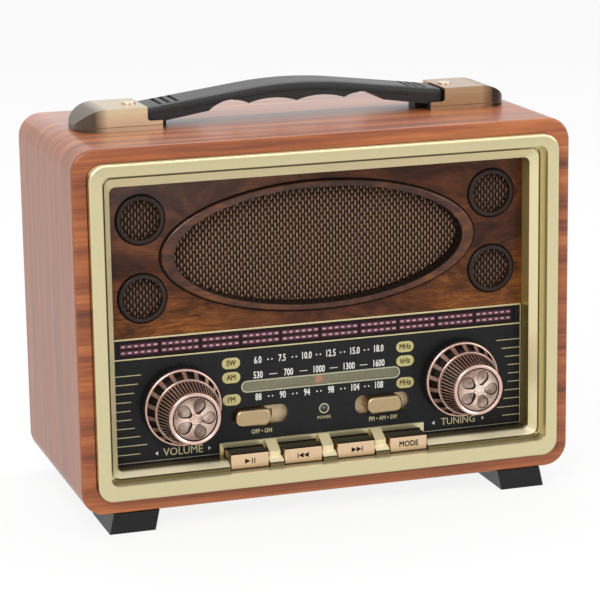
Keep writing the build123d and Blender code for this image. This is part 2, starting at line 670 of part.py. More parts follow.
# Dial panel with its openings and the posts behind it
with BuildPart() as dial_panel:
    with BuildSketch(face_at(PANEL_DEPTH)):
        span_rectangle(PLATE_HALF_WIDTH, WALL + PLATE_MARGIN, SPLIT_HEIGHT - PLATE_JOINT / 2)
        with Locations(*CORNER_SCREWS):
            Circle(SCREW_RADIUS + SHAFT_GAP, mode=Mode.SUBTRACT)
        with Locations((0, STRIP_LOW + STRIP_HEIGHT / 2)):
            strip_hole = 2 * (OPENING_HALF_WIDTH - STRIP_INSET + SEAT_GAP)
            Rectangle(strip_hole, STRIP_HEIGHT + 2 * SEAT_GAP, mode=Mode.SUBTRACT)
        with Locations((0, WINDOW_CENTRE)):
            SlotOverall(WINDOW_WIDTH + 2 * SEAT_GAP, WINDOW_HEIGHT + 2 * SEAT_GAP, mode=Mode.SUBTRACT)
        with Locations((LED_X, LED_HEIGHT)):
            Circle(LED_RADIUS + SEAT_GAP, mode=Mode.SUBTRACT)
        with Locations((-KNOB_X, KNOB_HEIGHT)):
            Circle(POT_BUSH + SHAFT_GAP, mode=Mode.SUBTRACT)
        with Locations((KNOB_X, KNOB_HEIGHT)):
            Circle(SHAFT_RADIUS + SHAFT_GAP, mode=Mode.SUBTRACT)
        with Locations((-SLOT_X, SLOT_CENTRE), (SLOT_X, SLOT_CENTRE)):
            RectangleRounded(SLOT_LENGTH, SLOT_HEIGHT, SLOT_HEIGHT * SLOT_ROUND, mode=Mode.SUBTRACT)
        with Locations(*KEY_PLACES):
            Rectangle(KEY_WIDTH + 2 * RUN_GAP, KEY_HEIGHT + 2 * RUN_GAP, mode=Mode.SUBTRACT)
    extrude(amount=-PANEL_THICKNESS)
    with BuildSketch(face_at(PANEL_BACK)):
        with Locations(*BOARD_PLACES):
            Circle(POST_RADIUS)
    extrude(amount=-(BOARD_DEPTH - PANEL_BACK))
    with BuildSketch(face_at(PANEL_BACK)):
        with Locations(*KEY_POST_PLACES):
            Circle(KEY_POST_RADIUS)
    extrude(amount=-(KEY_BOARD_DEPTH - PANEL_BACK))
    with BuildSketch(face_at(PANEL_BACK)):
        with Locations((IDLER_X, KNOB_HEIGHT)):
            Circle(PIN_RADIUS + PIN_SHOULDER)
    extrude(amount=-(DRUM_DEPTH - STOP_GAP - PANEL_BACK))
    with BuildSketch(face_at(PANEL_BACK)):
        with Locations((IDLER_X, KNOB_HEIGHT)):
            Circle(PIN_RADIUS)
    extrude(amount=-(DRUM_DEPTH + DRUM_THICKNESS + STOP_GAP - PANEL_BACK))
    rail_end = POINTER_TRAVEL + CARRIAGE + RUN_GAP
    with BuildSketch(face_at(PANEL_BACK)):
        for side in (-1, 1):
            with Locations((side * (rail_end + CARRIAGE / 2), RAIL_HEIGHT)):
                Rectangle(CARRIAGE, CARRIAGE)
    extrude(amount=-(RAIL_BEHIND + CARRIAGE / 2))
    with BuildSketch(along_at(RAIL_DEPTH, RAIL_HEIGHT)):
        Circle(RAIL_RADIUS + SHAFT_GAP)
    extrude(amount=rail_end + CARRIAGE, both=True, mode=Mode.SUBTRACT)
save(dial_panel.part, "dial_panel")

# Light strip and dial window: front bodies in the panel, lips behind it
with BuildPart() as light_strip:
    with BuildSketch(face_at(PANEL_DEPTH + SEAT_GAP)):
        with Locations((0, STRIP_LOW + STRIP_HEIGHT / 2)):
            Rectangle(2 * (OPENING_HALF_WIDTH - STRIP_INSET), STRIP_HEIGHT)
    extrude(amount=-(PANEL_THICKNESS - SEAT_GAP))
    with BuildSketch(face_at(PANEL_BACK)):
        with Locations((0, STRIP_LOW + STRIP_HEIGHT / 2)):
            Rectangle(2 * (OPENING_HALF_WIDTH - STRIP_INSET + LIP), STRIP_HEIGHT + 2 * LIP)
    extrude(amount=-LIP_THICKNESS)
save(light_strip.part, "light_strip")

with BuildPart() as dial_window:
    with BuildSketch(face_at(PANEL_DEPTH + SEAT_GAP)):
        with Locations((0, WINDOW_CENTRE)):
            SlotOverall(WINDOW_WIDTH, WINDOW_HEIGHT)
    extrude(amount=-(PANEL_THICKNESS - SEAT_GAP))
    with BuildSketch(face_at(PANEL_BACK)):
        with Locations((0, WINDOW_CENTRE)):
            SlotOverall(WINDOW_WIDTH + 2 * LIP, WINDOW_HEIGHT + 2 * LIP)
    extrude(amount=-LIP_THICKNESS)
save(dial_window.part, "dial_window")

with BuildPart() as power_led:
    with BuildSketch(turn_plane(PANEL_BACK, LED_X, LED_HEIGHT)) as led_profile:
        with BuildLine():
            led_front = PANEL_THICKNESS + LED_RADIUS / 2
            Polyline(
                (0, led_front - LED_RADIUS),
                (0, -LIP_THICKNESS),
                (LED_RADIUS + LIP / 2, -LIP_THICKNESS),
                (LED_RADIUS + LIP / 2, 0),
                (LED_RADIUS, 0),
                (LED_RADIUS, led_front - LED_RADIUS),
            )
            RadiusArc((LED_RADIUS, led_front - LED_RADIUS), (0, led_front), -LED_RADIUS)
            Line((0, led_front), (0, led_front - LED_RADIUS))
        make_face()
    revolve(axis=turn_axis(turn_plane(PANEL_BACK, LED_X, LED_HEIGHT)))
save(power_led.part, "power_led")

# Loudspeaker: pressed frame, paper cone, magnet and screws
with BuildPart() as speaker_frame:
    with BuildSketch(face_at(SPEAKER_DEPTH, height=OVAL_HEIGHT)):
        RectangleRounded(SPEAKER_SIZE, SPEAKER_SIZE, POST_RADIUS * 2)
    extrude(amount=-SPEAKER_FLANGE)
    with BuildSketch(turn_plane(SPEAKER_DEPTH, 0, OVAL_HEIGHT)):
        with BuildLine():
            Polyline(
                (0, -SPEAKER_FLANGE),
                (SPEAKER_THROAT + BASKET_WALL, -SPEAKER_FLANGE),
                (BASKET_NECK + BASKET_WALL, -BASKET_DEPTH),
                (0, -BASKET_DEPTH),
                close=True,
            )
        make_face()
    revolve(axis=turn_axis(turn_plane(SPEAKER_DEPTH, 0, OVAL_HEIGHT)))
    with BuildSketch(turn_plane(SPEAKER_DEPTH, 0, OVAL_HEIGHT)):
        with BuildLine():
            Polyline(
                (0, 0),
                (SPEAKER_THROAT, 0),
                (SPEAKER_THROAT, -SPEAKER_FLANGE),
                (BASKET_NECK, BASKET_WALL - BASKET_DEPTH),
                (0, BASKET_WALL - BASKET_DEPTH),
                close=True,
            )
        make_face()
    revolve(axis=turn_axis(turn_plane(SPEAKER_DEPTH, 0, OVAL_HEIGHT)), mode=Mode.SUBTRACT)
    with BuildSketch(face_at(SPEAKER_DEPTH + BASKET_DEPTH / 3, height=OVAL_HEIGHT)):
        with PolarLocations(SPEAKER_THROAT, BASKET_WINDOWS):
            SlotOverall(SPEAKER_THROAT, SPEAKER_THROAT * BASKET_WINDOW_SHARE, rotation=90)
    extrude(amount=-BASKET_DEPTH / 3, mode=Mode.SUBTRACT)
    with BuildSketch(face_at(SPEAKER_DEPTH)):
        with Locations(*SPEAKER_PLACES):
            Circle(SCREW_RADIUS + SHAFT_GAP)
    extrude(amount=-SPEAKER_FLANGE, mode=Mode.SUBTRACT)
save(speaker_frame.part, "speaker_frame")

cone_depth = BASKET_DEPTH - BASKET_WALL - STOP_GAP
cone_edge = SPEAKER_THROAT - SEAT_GAP
dust_dome = (CONE_NECK**2 + DUST_CAP_RISE**2) / (2 * DUST_CAP_RISE)
with BuildPart() as speaker_cone:
    with BuildSketch(turn_plane(SPEAKER_DEPTH, 0, OVAL_HEIGHT)):
        with BuildLine():
            Polyline(
                (0, DUST_CAP_RISE - DUST_CAP_DEPTH),
                (0, -cone_depth),
                (CONE_NECK, -cone_depth),
                (CONE_NECK, -DUST_CAP_DEPTH - CONE_WALL),
                (cone_edge - SURROUND, -CONE_WALL),
                (cone_edge, -CONE_WALL),
                (cone_edge, 0),
                (cone_edge - SURROUND, 0),
                (CONE_NECK, -DUST_CAP_DEPTH),
            )
            RadiusArc((CONE_NECK, -DUST_CAP_DEPTH), (0, DUST_CAP_RISE - DUST_CAP_DEPTH), -dust_dome)
        make_face()
    revolve(axis=turn_axis(turn_plane(SPEAKER_DEPTH, 0, OVAL_HEIGHT)))
save(speaker_cone.part, "speaker_cone")

with BuildPart() as speaker_magnet:
    with BuildSketch(face_at(SPEAKER_DEPTH + BASKET_DEPTH, height=OVAL_HEIGHT)):
        Circle(MAGNET_RADIUS)
    extrude(amount=-MAGNET_THICKNESS)
    chamfer(speaker_magnet.edges().filter_by(GeomType.CIRCLE), SPEAKER_FLANGE)
save(speaker_magnet.part, "speaker_magnet")

with BuildPart() as speaker_screws:
    add_screws(
        back_at(SPEAKER_DEPTH + SPEAKER_FLANGE),
        [(x, -height) for x, height in SPEAKER_PLACES],
        SPEAKER_FLANGE + SPEAKER_DEPTH - PANEL_BACK - SEAT_GAP,
    )
save(speaker_screws.part, "speaker_screws")


def build_knob_skirt(x):
    """Black knurled skirt at the foot of a knob."""
    plane = face_at(PANEL_DEPTH - KNOB_STANDOFF, x, KNOB_HEIGHT)
    with BuildPart() as skirt:
        with BuildSketch(plane):
            Circle(SKIRT_RADIUS)
            with PolarLocations(SKIRT_RADIUS, SKIRT_TEETH):
                Rectangle(RIB_DEPTH, RIB_DEPTH, rotation=45, mode=Mode.SUBTRACT)
            Circle(SHAFT_RADIUS + SHAFT_GAP, mode=Mode.SUBTRACT)
        extrude(amount=SKIRT_THICKNESS)
    return skirt.part


def build_knob_body(x):
    """Copper knob: base ring, windowed cone, collar, ribbed barrel and front ring."""
    plane = turn_plane(PANEL_DEPTH, x, KNOB_HEIGHT)
    barrel_lean = degrees(atan2(BARREL_BASE - FRONT_RADIUS, BARREL_LENGTH))
    cone_lean = degrees(atan2(WINDOW_CONE_RADIUS - COLLAR_RADIUS, WINDOW_CONE_LENGTH))
    ring_start = KNOB_STANDOFF + SKIRT_THICKNESS
    collar_start = KNOB_CONE_START + WINDOW_CONE_LENGTH
    window_width = 2 * pi * COLLAR_RADIUS / WINDOW_COUNT * WINDOW_SHARE
    with BuildPart() as knob:
        with BuildSketch(plane):
            with BuildLine():
                Line((SHAFT_RADIUS + SHAFT_GAP, ring_start), (RING_RADIUS - RING_THICKNESS / 2, ring_start))
                ThreePointArc(
                    (RING_RADIUS - RING_THICKNESS / 2, ring_start),
                    (RING_RADIUS, ring_start + RING_THICKNESS / 2),
                    (RING_RADIUS - RING_THICKNESS / 2, KNOB_CONE_START),
                )
                Polyline(
                    (RING_RADIUS - RING_THICKNESS / 2, KNOB_CONE_START),
                    (WINDOW_CONE_RADIUS, KNOB_CONE_START),
                    (COLLAR_RADIUS - RING_THICKNESS / 2, collar_start),
                )
                ThreePointArc(
                    (COLLAR_RADIUS - RING_THICKNESS / 2, collar_start),
                    (COLLAR_RADIUS, collar_start + RING_THICKNESS / 2),
                    (COLLAR_RADIUS - RING_THICKNESS / 2, KNOB_BARREL_START),
                )
                Polyline(
                    (COLLAR_RADIUS - RING_THICKNESS / 2, KNOB_BARREL_START),
                    (BARREL_BASE, KNOB_BARREL_START),
                    (FRONT_RADIUS - RIB_DEPTH / 2, KNOB_RING_START),
                    (FRONT_RADIUS - RIB_DEPTH / 2, KNOB_RING_START + FRONT_RING / 4),
                )
                ThreePointArc(
                    (FRONT_RADIUS - RIB_DEPTH / 2, KNOB_RING_START + FRONT_RING / 4),
                    (FRONT_RADIUS, KNOB_RING_START + FRONT_BULGE),
                    (FRONT_RADIUS - FRONT_LIP / 2, KNOB_FACE),
                )
                Polyline(
                    (FRONT_RADIUS - FRONT_LIP / 2, KNOB_FACE),
                    (FRONT_RADIUS - FRONT_LIP, KNOB_FACE - FRONT_LIP / 4),
                    (FRONT_RADIUS - FRONT_LIP, KNOB_FACE - CAP_RECESS),
                    (SHAFT_RADIUS + SHAFT_GAP, KNOB_FACE - CAP_RECESS),
                    (SHAFT_RADIUS + SHAFT_GAP, ring_start),
                )
            make_face()
        revolve(axis=turn_axis(plane))
        cone_middle = face_at(PANEL_DEPTH - KNOB_CONE_START - WINDOW_CONE_LENGTH / 2, x, KNOB_HEIGHT)
        with Locations(cone_middle):
            cone_radius = (WINDOW_CONE_RADIUS + COLLAR_RADIUS - RING_THICKNESS / 2) / 2
            with PolarLocations(cone_radius, WINDOW_COUNT):
                Box(
                    2 * RIB_DEPTH,
                    window_width,
                    WINDOW_CONE_LENGTH - RING_THICKNESS,
                    rotation=(0, -cone_lean, 0),
                    mode=Mode.SUBTRACT,
                )
        barrel_middle = face_at(PANEL_DEPTH - KNOB_BARREL_START - BARREL_LENGTH / 2, x, KNOB_HEIGHT)
        with Locations(barrel_middle):
            with PolarLocations((BARREL_BASE + FRONT_RADIUS - RIB_DEPTH / 2) / 2, BARREL_RIBS):
                Box(
                    RIB_DEPTH,
                    RIB_DEPTH,
                    BARREL_LENGTH - RING_THICKNESS,
                    rotation=(0, -barrel_lean, 0),
                    mode=Mode.SUBTRACT,
                )
    return knob.part


def build_knob_cap(x):
    """Domed cap with a spoked wheel in low relief: openings that widen outwards, round at both ends."""
    plane = turn_plane(PANEL_DEPTH - KNOB_FACE + CAP_RECESS, x, KNOB_HEIGHT)
    radius = FRONT_RADIUS - FRONT_LIP - SHAFT_GAP
    dome = (radius**2 + (CAP_CROWN - CAP_EDGE) ** 2) / (2 * (CAP_CROWN - CAP_EDGE))
    bends = ((CAP_OPENING_INNER, CAP_OPENING_NARROW), (CAP_OPENING_OUTER, CAP_OPENING_WIDE))
    slope = asin((CAP_OPENING_WIDE - CAP_OPENING_NARROW) / (CAP_OPENING_OUTER - CAP_OPENING_INNER))
    near, far = [(centre - bend * sin(slope), bend * cos(slope)) for centre, bend in bends]
    with BuildPart() as cap:
        with BuildSketch(plane):
            with BuildLine():
                Polyline((0, CAP_CROWN), (0, 0), (radius, 0), (radius, CAP_EDGE))
                RadiusArc((radius, CAP_EDGE), (0, CAP_CROWN), -dome)
            make_face()
        revolve(axis=turn_axis(plane))
        with BuildSketch(face_at(PANEL_DEPTH - KNOB_FACE + CAP_RECESS - CAP_EDGE, x, KNOB_HEIGHT)):
            with PolarLocations(0, CAP_SPOKES):
                Polygon(near, (near[0], -near[1]), (far[0], -far[1]), far, align=None)
            for centre, bend in bends:
                with PolarLocations(centre, CAP_SPOKES):
                    Circle(bend)
        extrude(amount=CAP_CROWN, mode=Mode.SUBTRACT)
    return cap.part


def build_shaft(x, back):
    """Round shaft from the knob's face recess back to its control."""
    with BuildPart() as shaft:
        with BuildSketch(face_at(back, x, KNOB_HEIGHT)):
            Circle(SHAFT_RADIUS)
        extrude(amount=back - PANEL_DEPTH + KNOB_FACE - CAP_RECESS)
    return shaft.part


tuner_front = DRUM_DEPTH + DRUM_THICKNESS + STOP_GAP
pot_back = PANEL_BACK + POT_DEPTH
knob_shaft_ends = {
    "volume": (-KNOB_X, pot_back - STOP_GAP - BASKET_WALL),
    "tuning": (KNOB_X, BOARD_DEPTH - 2 * STOP_GAP),
}
for control, (control_x, shaft_end) in knob_shaft_ends.items():
    save(build_knob_skirt(control_x), f"{control}_knob_skirt")
    save(build_knob_body(control_x), f"{control}_knob")
    save(build_knob_cap(control_x), f"{control}_knob_cap")
    save(build_shaft(control_x, shaft_end), f"{control}_shaft")

# Volume potentiometer: can behind the panel with its bush through it
with BuildPart() as volume_pot:
    with BuildSketch(face_at(PANEL_BACK, -KNOB_X, KNOB_HEIGHT)):
        Circle(POT_RADIUS)
    extrude(amount=-POT_DEPTH)
    fillet(volume_pot.faces().sort_by(Axis.Y)[-1].edges(), BASKET_WALL)
    with BuildSketch(face_at(PANEL_BACK, -KNOB_X, KNOB_HEIGHT)):
        Circle(POT_BUSH)
    extrude(amount=PANEL_THICKNESS)
    with BuildSketch(face_at(PANEL_DEPTH, -KNOB_X, KNOB_HEIGHT)):
        Circle(SHAFT_RADIUS + SHAFT_GAP)
    extrude(amount=-(PANEL_THICKNESS + POT_DEPTH - BASKET_WALL), mode=Mode.SUBTRACT)
save(volume_pot.part, "volume_pot")

# Tuning capacitor on the main board
with BuildPart() as tuning_capacitor:
    with BuildSketch(face_at(tuner_front, KNOB_X, KNOB_HEIGHT)):
        RectangleRounded(CAPACITOR_SIZE, CAPACITOR_SIZE, POST_RADIUS / 2)
        Circle(SHAFT_RADIUS + SHAFT_GAP, mode=Mode.SUBTRACT)
    extrude(amount=-(BOARD_DEPTH - tuner_front))
save(tuning_capacitor.part, "tuning_capacitor")


def build_pulley(x, bore):
    """Grooved pulley for the dial cord."""
    plane = turn_plane(DRUM_DEPTH + DRUM_THICKNESS, x, KNOB_HEIGHT)
    groove = CORD_RADIUS + STOP_GAP
    middle = DRUM_THICKNESS / 2
    rim = DRUM_RADIUS + CORD_RADIUS
    with BuildPart() as pulley:
        with BuildSketch(plane):
            with BuildLine():
                Polyline(
                    (bore, 0),
                    (rim, 0),
                    (rim, middle - groove),
                    (DRUM_RADIUS - groove, middle - groove),
                    (DRUM_RADIUS - groove, middle + groove),
                    (rim, middle + groove),
                    (rim, DRUM_THICKNESS),
                    (bore, DRUM_THICKNESS),
                    close=True,
                )
            make_face()
        revolve(axis=turn_axis(plane))
    return pulley.part


save(build_pulley(KNOB_X, SHAFT_RADIUS + SHAFT_GAP), "tuning_drum")
save(build_pulley(IDLER_X, PIN_RADIUS + SHAFT_GAP), "idler_pulley")

# Dial cord: a closed loop round the drum and the idler
cord_depth = DRUM_DEPTH + DRUM_THICKNESS / 2
cord_plane = face_at(cord_depth, (KNOB_X + IDLER_X) / 2, KNOB_HEIGHT)
with BuildPart() as dial_cord:
    with BuildLine(cord_plane) as cord_path:
        half_span = (KNOB_X - IDLER_X) / 2
        Line((0, DRUM_RADIUS), (half_span, DRUM_RADIUS))
        ThreePointArc((half_span, DRUM_RADIUS), (half_span + DRUM_RADIUS, 0), (half_span, -DRUM_RADIUS))
        Line((half_span, -DRUM_RADIUS), (-half_span, -DRUM_RADIUS))
        ThreePointArc((-half_span, -DRUM_RADIUS), (-half_span - DRUM_RADIUS, 0), (-half_span, DRUM_RADIUS))
        Line((-half_span, DRUM_RADIUS), (0, DRUM_RADIUS))
    with BuildSketch(Plane(cord_path.line @ 0, x_dir=(0, 1, 0), z_dir=cord_path.line % 0)):
        Circle(CORD_RADIUS)
    sweep(path=cord_path.line)
save(dial_cord.part, "dial_cord")

# Pointer rail and the pointer that slides on it, clipped round the upper run of the cord
with BuildPart() as pointer_rail:
    with BuildSketch(along_at(RAIL_DEPTH, RAIL_HEIGHT)):
        Circle(RAIL_RADIUS)
    extrude(amount=rail_end + CARRIAGE, both=True)
save(pointer_rail.part, "pointer_rail")

cord_height = KNOB_HEIGHT + DRUM_RADIUS
needle_depth = PANEL_BACK + LIP_THICKNESS + STOP_GAP
with BuildPart() as dial_pointer:
    with BuildSketch(along_at(RAIL_DEPTH, RAIL_HEIGHT)):
        Rectangle(CARRIAGE, CARRIAGE)
        with Locations(((cord_depth - RAIL_DEPTH) / 2, cord_height - RAIL_HEIGHT)):
            Rectangle(cord_depth - RAIL_DEPTH + CARRIAGE, CARRIAGE / 2)
        Circle(RAIL_RADIUS + SHAFT_GAP, mode=Mode.SUBTRACT)
        with Locations((cord_depth - RAIL_DEPTH, cord_height - RAIL_HEIGHT)):
            Circle(CORD_RADIUS + STOP_GAP, mode=Mode.SUBTRACT)
    extrude(amount=CARRIAGE / 2, both=True)
    with BuildSketch(face_at(needle_depth)):
        span_rectangle(NEEDLE_WIDTH / 2, WINDOW_CENTRE - WINDOW_HEIGHT / 2 - LIP, RAIL_HEIGHT)
    extrude(amount=-LIP_THICKNESS)
save(dial_pointer.part, "dial_pointer")


def build_slider(x):
    """Slide-switch cap with a raised thumb grip and a stem into the switch."""
    front = PANEL_DEPTH - SLIDER_PROUD
    floor = PANEL_BACK + LIP_THICKNESS
    cap_height = SLOT_HEIGHT - 2 * RUN_GAP
    with BuildPart() as slider:
        with BuildSketch(face_at(floor - STOP_GAP, x, SLOT_CENTRE)):
            RectangleRounded(SLIDER_LENGTH, cap_height, cap_height * SLOT_ROUND)
        extrude(amount=floor - STOP_GAP - front)
        fillet(slider.faces().sort_by(Axis.Y)[0].edges(), SLIDER_CROWN)
        with BuildSketch(face_at(floor - STOP_GAP, x, SLOT_CENTRE)):
            Rectangle(STEM_LENGTH, STEM_HEIGHT)
        extrude(amount=-(STEM_REACH + STOP_GAP))
    return slider.part


# Slide-switch housings behind the panel, with wells for the caps and slots for the stems
with BuildPart() as slide_switches:
    with BuildSketch(face_at(PANEL_BACK, height=SLOT_CENTRE)):
        with GridLocations(2 * SLOT_X, 1, 2, 1):
            Rectangle(SLOT_LENGTH + 4 * LIP, SLOT_HEIGHT + 2 * LIP)
    extrude(amount=-SWITCH_DEPTH)
    with BuildSketch(face_at(PANEL_BACK, height=SLOT_CENTRE)):
        with GridLocations(2 * SLOT_X, 1, 2, 1):
            Rectangle(SLOT_LENGTH, SLOT_HEIGHT)
    extrude(amount=-LIP_THICKNESS, mode=Mode.SUBTRACT)
    with BuildSketch(face_at(PANEL_BACK, height=SLOT_CENTRE)):
        with GridLocations(2 * SLOT_X, 1, 2, 1):
            Rectangle(STEM_LENGTH + SLOT_LENGTH - SLIDER_LENGTH, STEM_HEIGHT + 2 * RUN_GAP)
    extrude(amount=-(LIP_THICKNESS + STEM_REACH + STOP_GAP), mode=Mode.SUBTRACT)
save(slide_switches.part, "slide_switches")

save(build_slider(-SLOT_X - (SLOT_LENGTH - SLIDER_LENGTH) / 2 + RUN_GAP), "power_slider")
save(build_slider(SLOT_X), "band_slider")


def build_key(place):
    """Piano key: block through the bezel, stop flange behind the panel and plunger."""
    flange_depth = PANEL_BACK + STOP_GAP
    with BuildPart() as key:
        with BuildSketch(face_at(flange_depth, *place)):
            Rectangle(KEY_WIDTH, KEY_HEIGHT)
        extrude(amount=flange_depth - KEY_FRONT)
        fillet(key.faces().sort_by(Axis.Y)[0].edges(), BEZEL_EDGE / 2)
        with BuildSketch(face_at(flange_depth, *place)):
            Rectangle(KEY_WIDTH + 2 * KEY_FLANGE, KEY_HEIGHT + 2 * KEY_FLANGE)
        extrude(amount=-KEY_FLANGE_THICKNESS)
        with BuildSketch(face_at(flange_depth + KEY_FLANGE_THICKNESS, *place)):
            Circle(PLUNGER_RADIUS)
        extrude(amount=-PLUNGER_LENGTH)
    return key.part


KEY_NAMES = ("play_key", "previous_key", "next_key", "mode_key")
for key_name, key_place in zip(KEY_NAMES, KEY_PLACES):
    save(build_key(key_place), key_name)

# Key board on its posts, with a push switch behind each plunger
with BuildPart() as key_board:
    with BuildSketch(face_at(KEY_BOARD_DEPTH, height=KEY_CENTRE)):
        Rectangle(KEY_PITCH * KEY_COUNT + 4 * KEY_POST_RADIUS, KEY_HEIGHT + 2 * KEY_FLANGE)
    extrude(amount=-BOARD_THICKNESS)
save(key_board.part, "key_board")

with BuildPart() as key_switches:
    with BuildSketch(face_at(KEY_BOARD_DEPTH)):
        with Locations(*KEY_PLACES):
            Rectangle(TACT_SIZE, TACT_SIZE)
    extrude(amount=TACT_BODY)
    with BuildSketch(face_at(KEY_BOARD_DEPTH - TACT_BODY)):
        with Locations(*KEY_PLACES):
            Circle(PLUNGER_RADIUS)
    extrude(amount=TACT_BUTTON)
save(key_switches.part, "key_switches")

# Main board behind the dial mechanism
with BuildPart() as main_board:
    with BuildSketch(face_at(BOARD_DEPTH)):
        span_rectangle(OPENING_HALF_WIDTH - BOARD_POST_INSET + 2 * POST_RADIUS, BOARD_LOW, BOARD_TOP)
    extrude(amount=-BOARD_THICKNESS)
save(main_board.part, "main_board")


def build_bracket(side):
    """Cast bracket: round-ended plan, ramped toe, hollow for the strap and notched mouth."""
    with BuildPart() as bracket:
        with BuildSketch(top_plane()):
            with Locations((side * (BRACKET_INNER + BRACKET_LENGTH / 2), 0)):
                Rectangle(BRACKET_LENGTH, BRACKET_WIDTH)
        extrude(amount=BRACKET_HEIGHT)
        outer = bracket.edges().filter_by(Axis.Z).sort_by(Axis.X)
        fillet(outer[-2:] if side > 0 else outer[:2], BRACKET_CORNER)
        with BuildSketch(handle_plane(side)):
            with BuildLine():
                ThreePointArc(
                    (BRACKET_FLAT_END, BRACKET_HEIGHT),
                    (
                        (BRACKET_FLAT_END + BRACKET_OUTER) / 2 + BRACKET_BULGE,
                        (BRACKET_HEIGHT + BRACKET_TOE) / 2 + BRACKET_BULGE,
                    ),
                    (BRACKET_OUTER, BRACKET_TOE),
                )
                Polyline(
                    (BRACKET_OUTER, BRACKET_TOE),
                    (BRACKET_OUTER + WALL, BRACKET_TOE),
                    (BRACKET_OUTER + WALL, BRACKET_HEIGHT + WALL),
                    (BRACKET_FLAT_END, BRACKET_HEIGHT + WALL),
                    (BRACKET_FLAT_END, BRACKET_HEIGHT),
                )
            make_face()
        extrude(amount=BRACKET_WIDTH, both=True, mode=Mode.SUBTRACT)
        with BuildSketch(handle_plane(side)):
            with BuildLine():
                Polyline(
                    (BRACKET_INNER, BRACKET_HEIGHT + WALL),
                    (BRACKET_INNER, BRACKET_NOTCH_HEIGHT),
                    (BRACKET_NOTCH_END - BRACKET_WALL, BRACKET_NOTCH_HEIGHT),
                )
                RadiusArc(
                    (BRACKET_NOTCH_END - BRACKET_WALL, BRACKET_NOTCH_HEIGHT),
                    (BRACKET_NOTCH_END, BRACKET_NOTCH_HEIGHT + BRACKET_WALL),
                    -BRACKET_WALL,
                )
                Polyline(
                    (BRACKET_NOTCH_END, BRACKET_NOTCH_HEIGHT + BRACKET_WALL),
                    (BRACKET_NOTCH_END, BRACKET_HEIGHT + WALL),
                    (BRACKET_INNER, BRACKET_HEIGHT + WALL),
                )
            make_face()
        extrude(amount=BRACKET_WIDTH, both=True, mode=Mode.SUBTRACT)
        with BuildSketch(top_plane()):
            with Locations((side * (BRACKET_INNER + BRACKET_FLAT / 2), 0)):
                Rectangle(BRACKET_FLAT, BRACKET_WIDTH - 2 * BRACKET_WALL)
        extrude(amount=BRACKET_HEIGHT - BRACKET_WALL, mode=Mode.SUBTRACT)
        with BuildSketch(top_plane()):
            with Locations((side * HANDLE_SCREW_X, 0)):
                with GridLocations(1, HANDLE_SCREW_SPREAD, 1, 2):
                    Circle(SCREW_RADIUS + SHAFT_GAP)
        extrude(amount=BRACKET_TOE, mode=Mode.SUBTRACT)
        with BuildSketch(top_plane(BRACKET_HEIGHT)):
            with Locations((side * RIVET_X, 0)):
                Circle(RIVET_RADIUS + SHAFT_GAP)
        extrude(amount=-BRACKET_WALL, mode=Mode.SUBTRACT)
    return bracket.part


for side_name, handle_end in (("left", -1), ("right", 1)):
    save(build_bracket(handle_end), f"handle_bracket_{side_name}")

# Black base plates under the strap's ends, with tongues that reach out of the brackets' mouths
base_length = BRACKET_FLAT - SEAT_GAP
with BuildPart() as handle_bases:
    with BuildSketch(top_plane()):
        with GridLocations(2 * BRACKET_INNER, 1, 2, 1):
            Rectangle(2 * BASE_REACH, BASE_TONGUE)
        with GridLocations(2 * BRACKET_INNER + base_length, 1, 2, 1):
            RectangleRounded(base_length, BRACKET_WIDTH - 2 * BRACKET_WALL - 2 * SEAT_GAP, BRACKET_WALL)
        with GridLocations(2 * RIVET_X, 1, 2, 1):
            Circle(RIVET_RADIUS + SHAFT_GAP, mode=Mode.SUBTRACT)
    extrude(amount=BASE_THICKNESS)
save(handle_bases.part, "handle_bases")

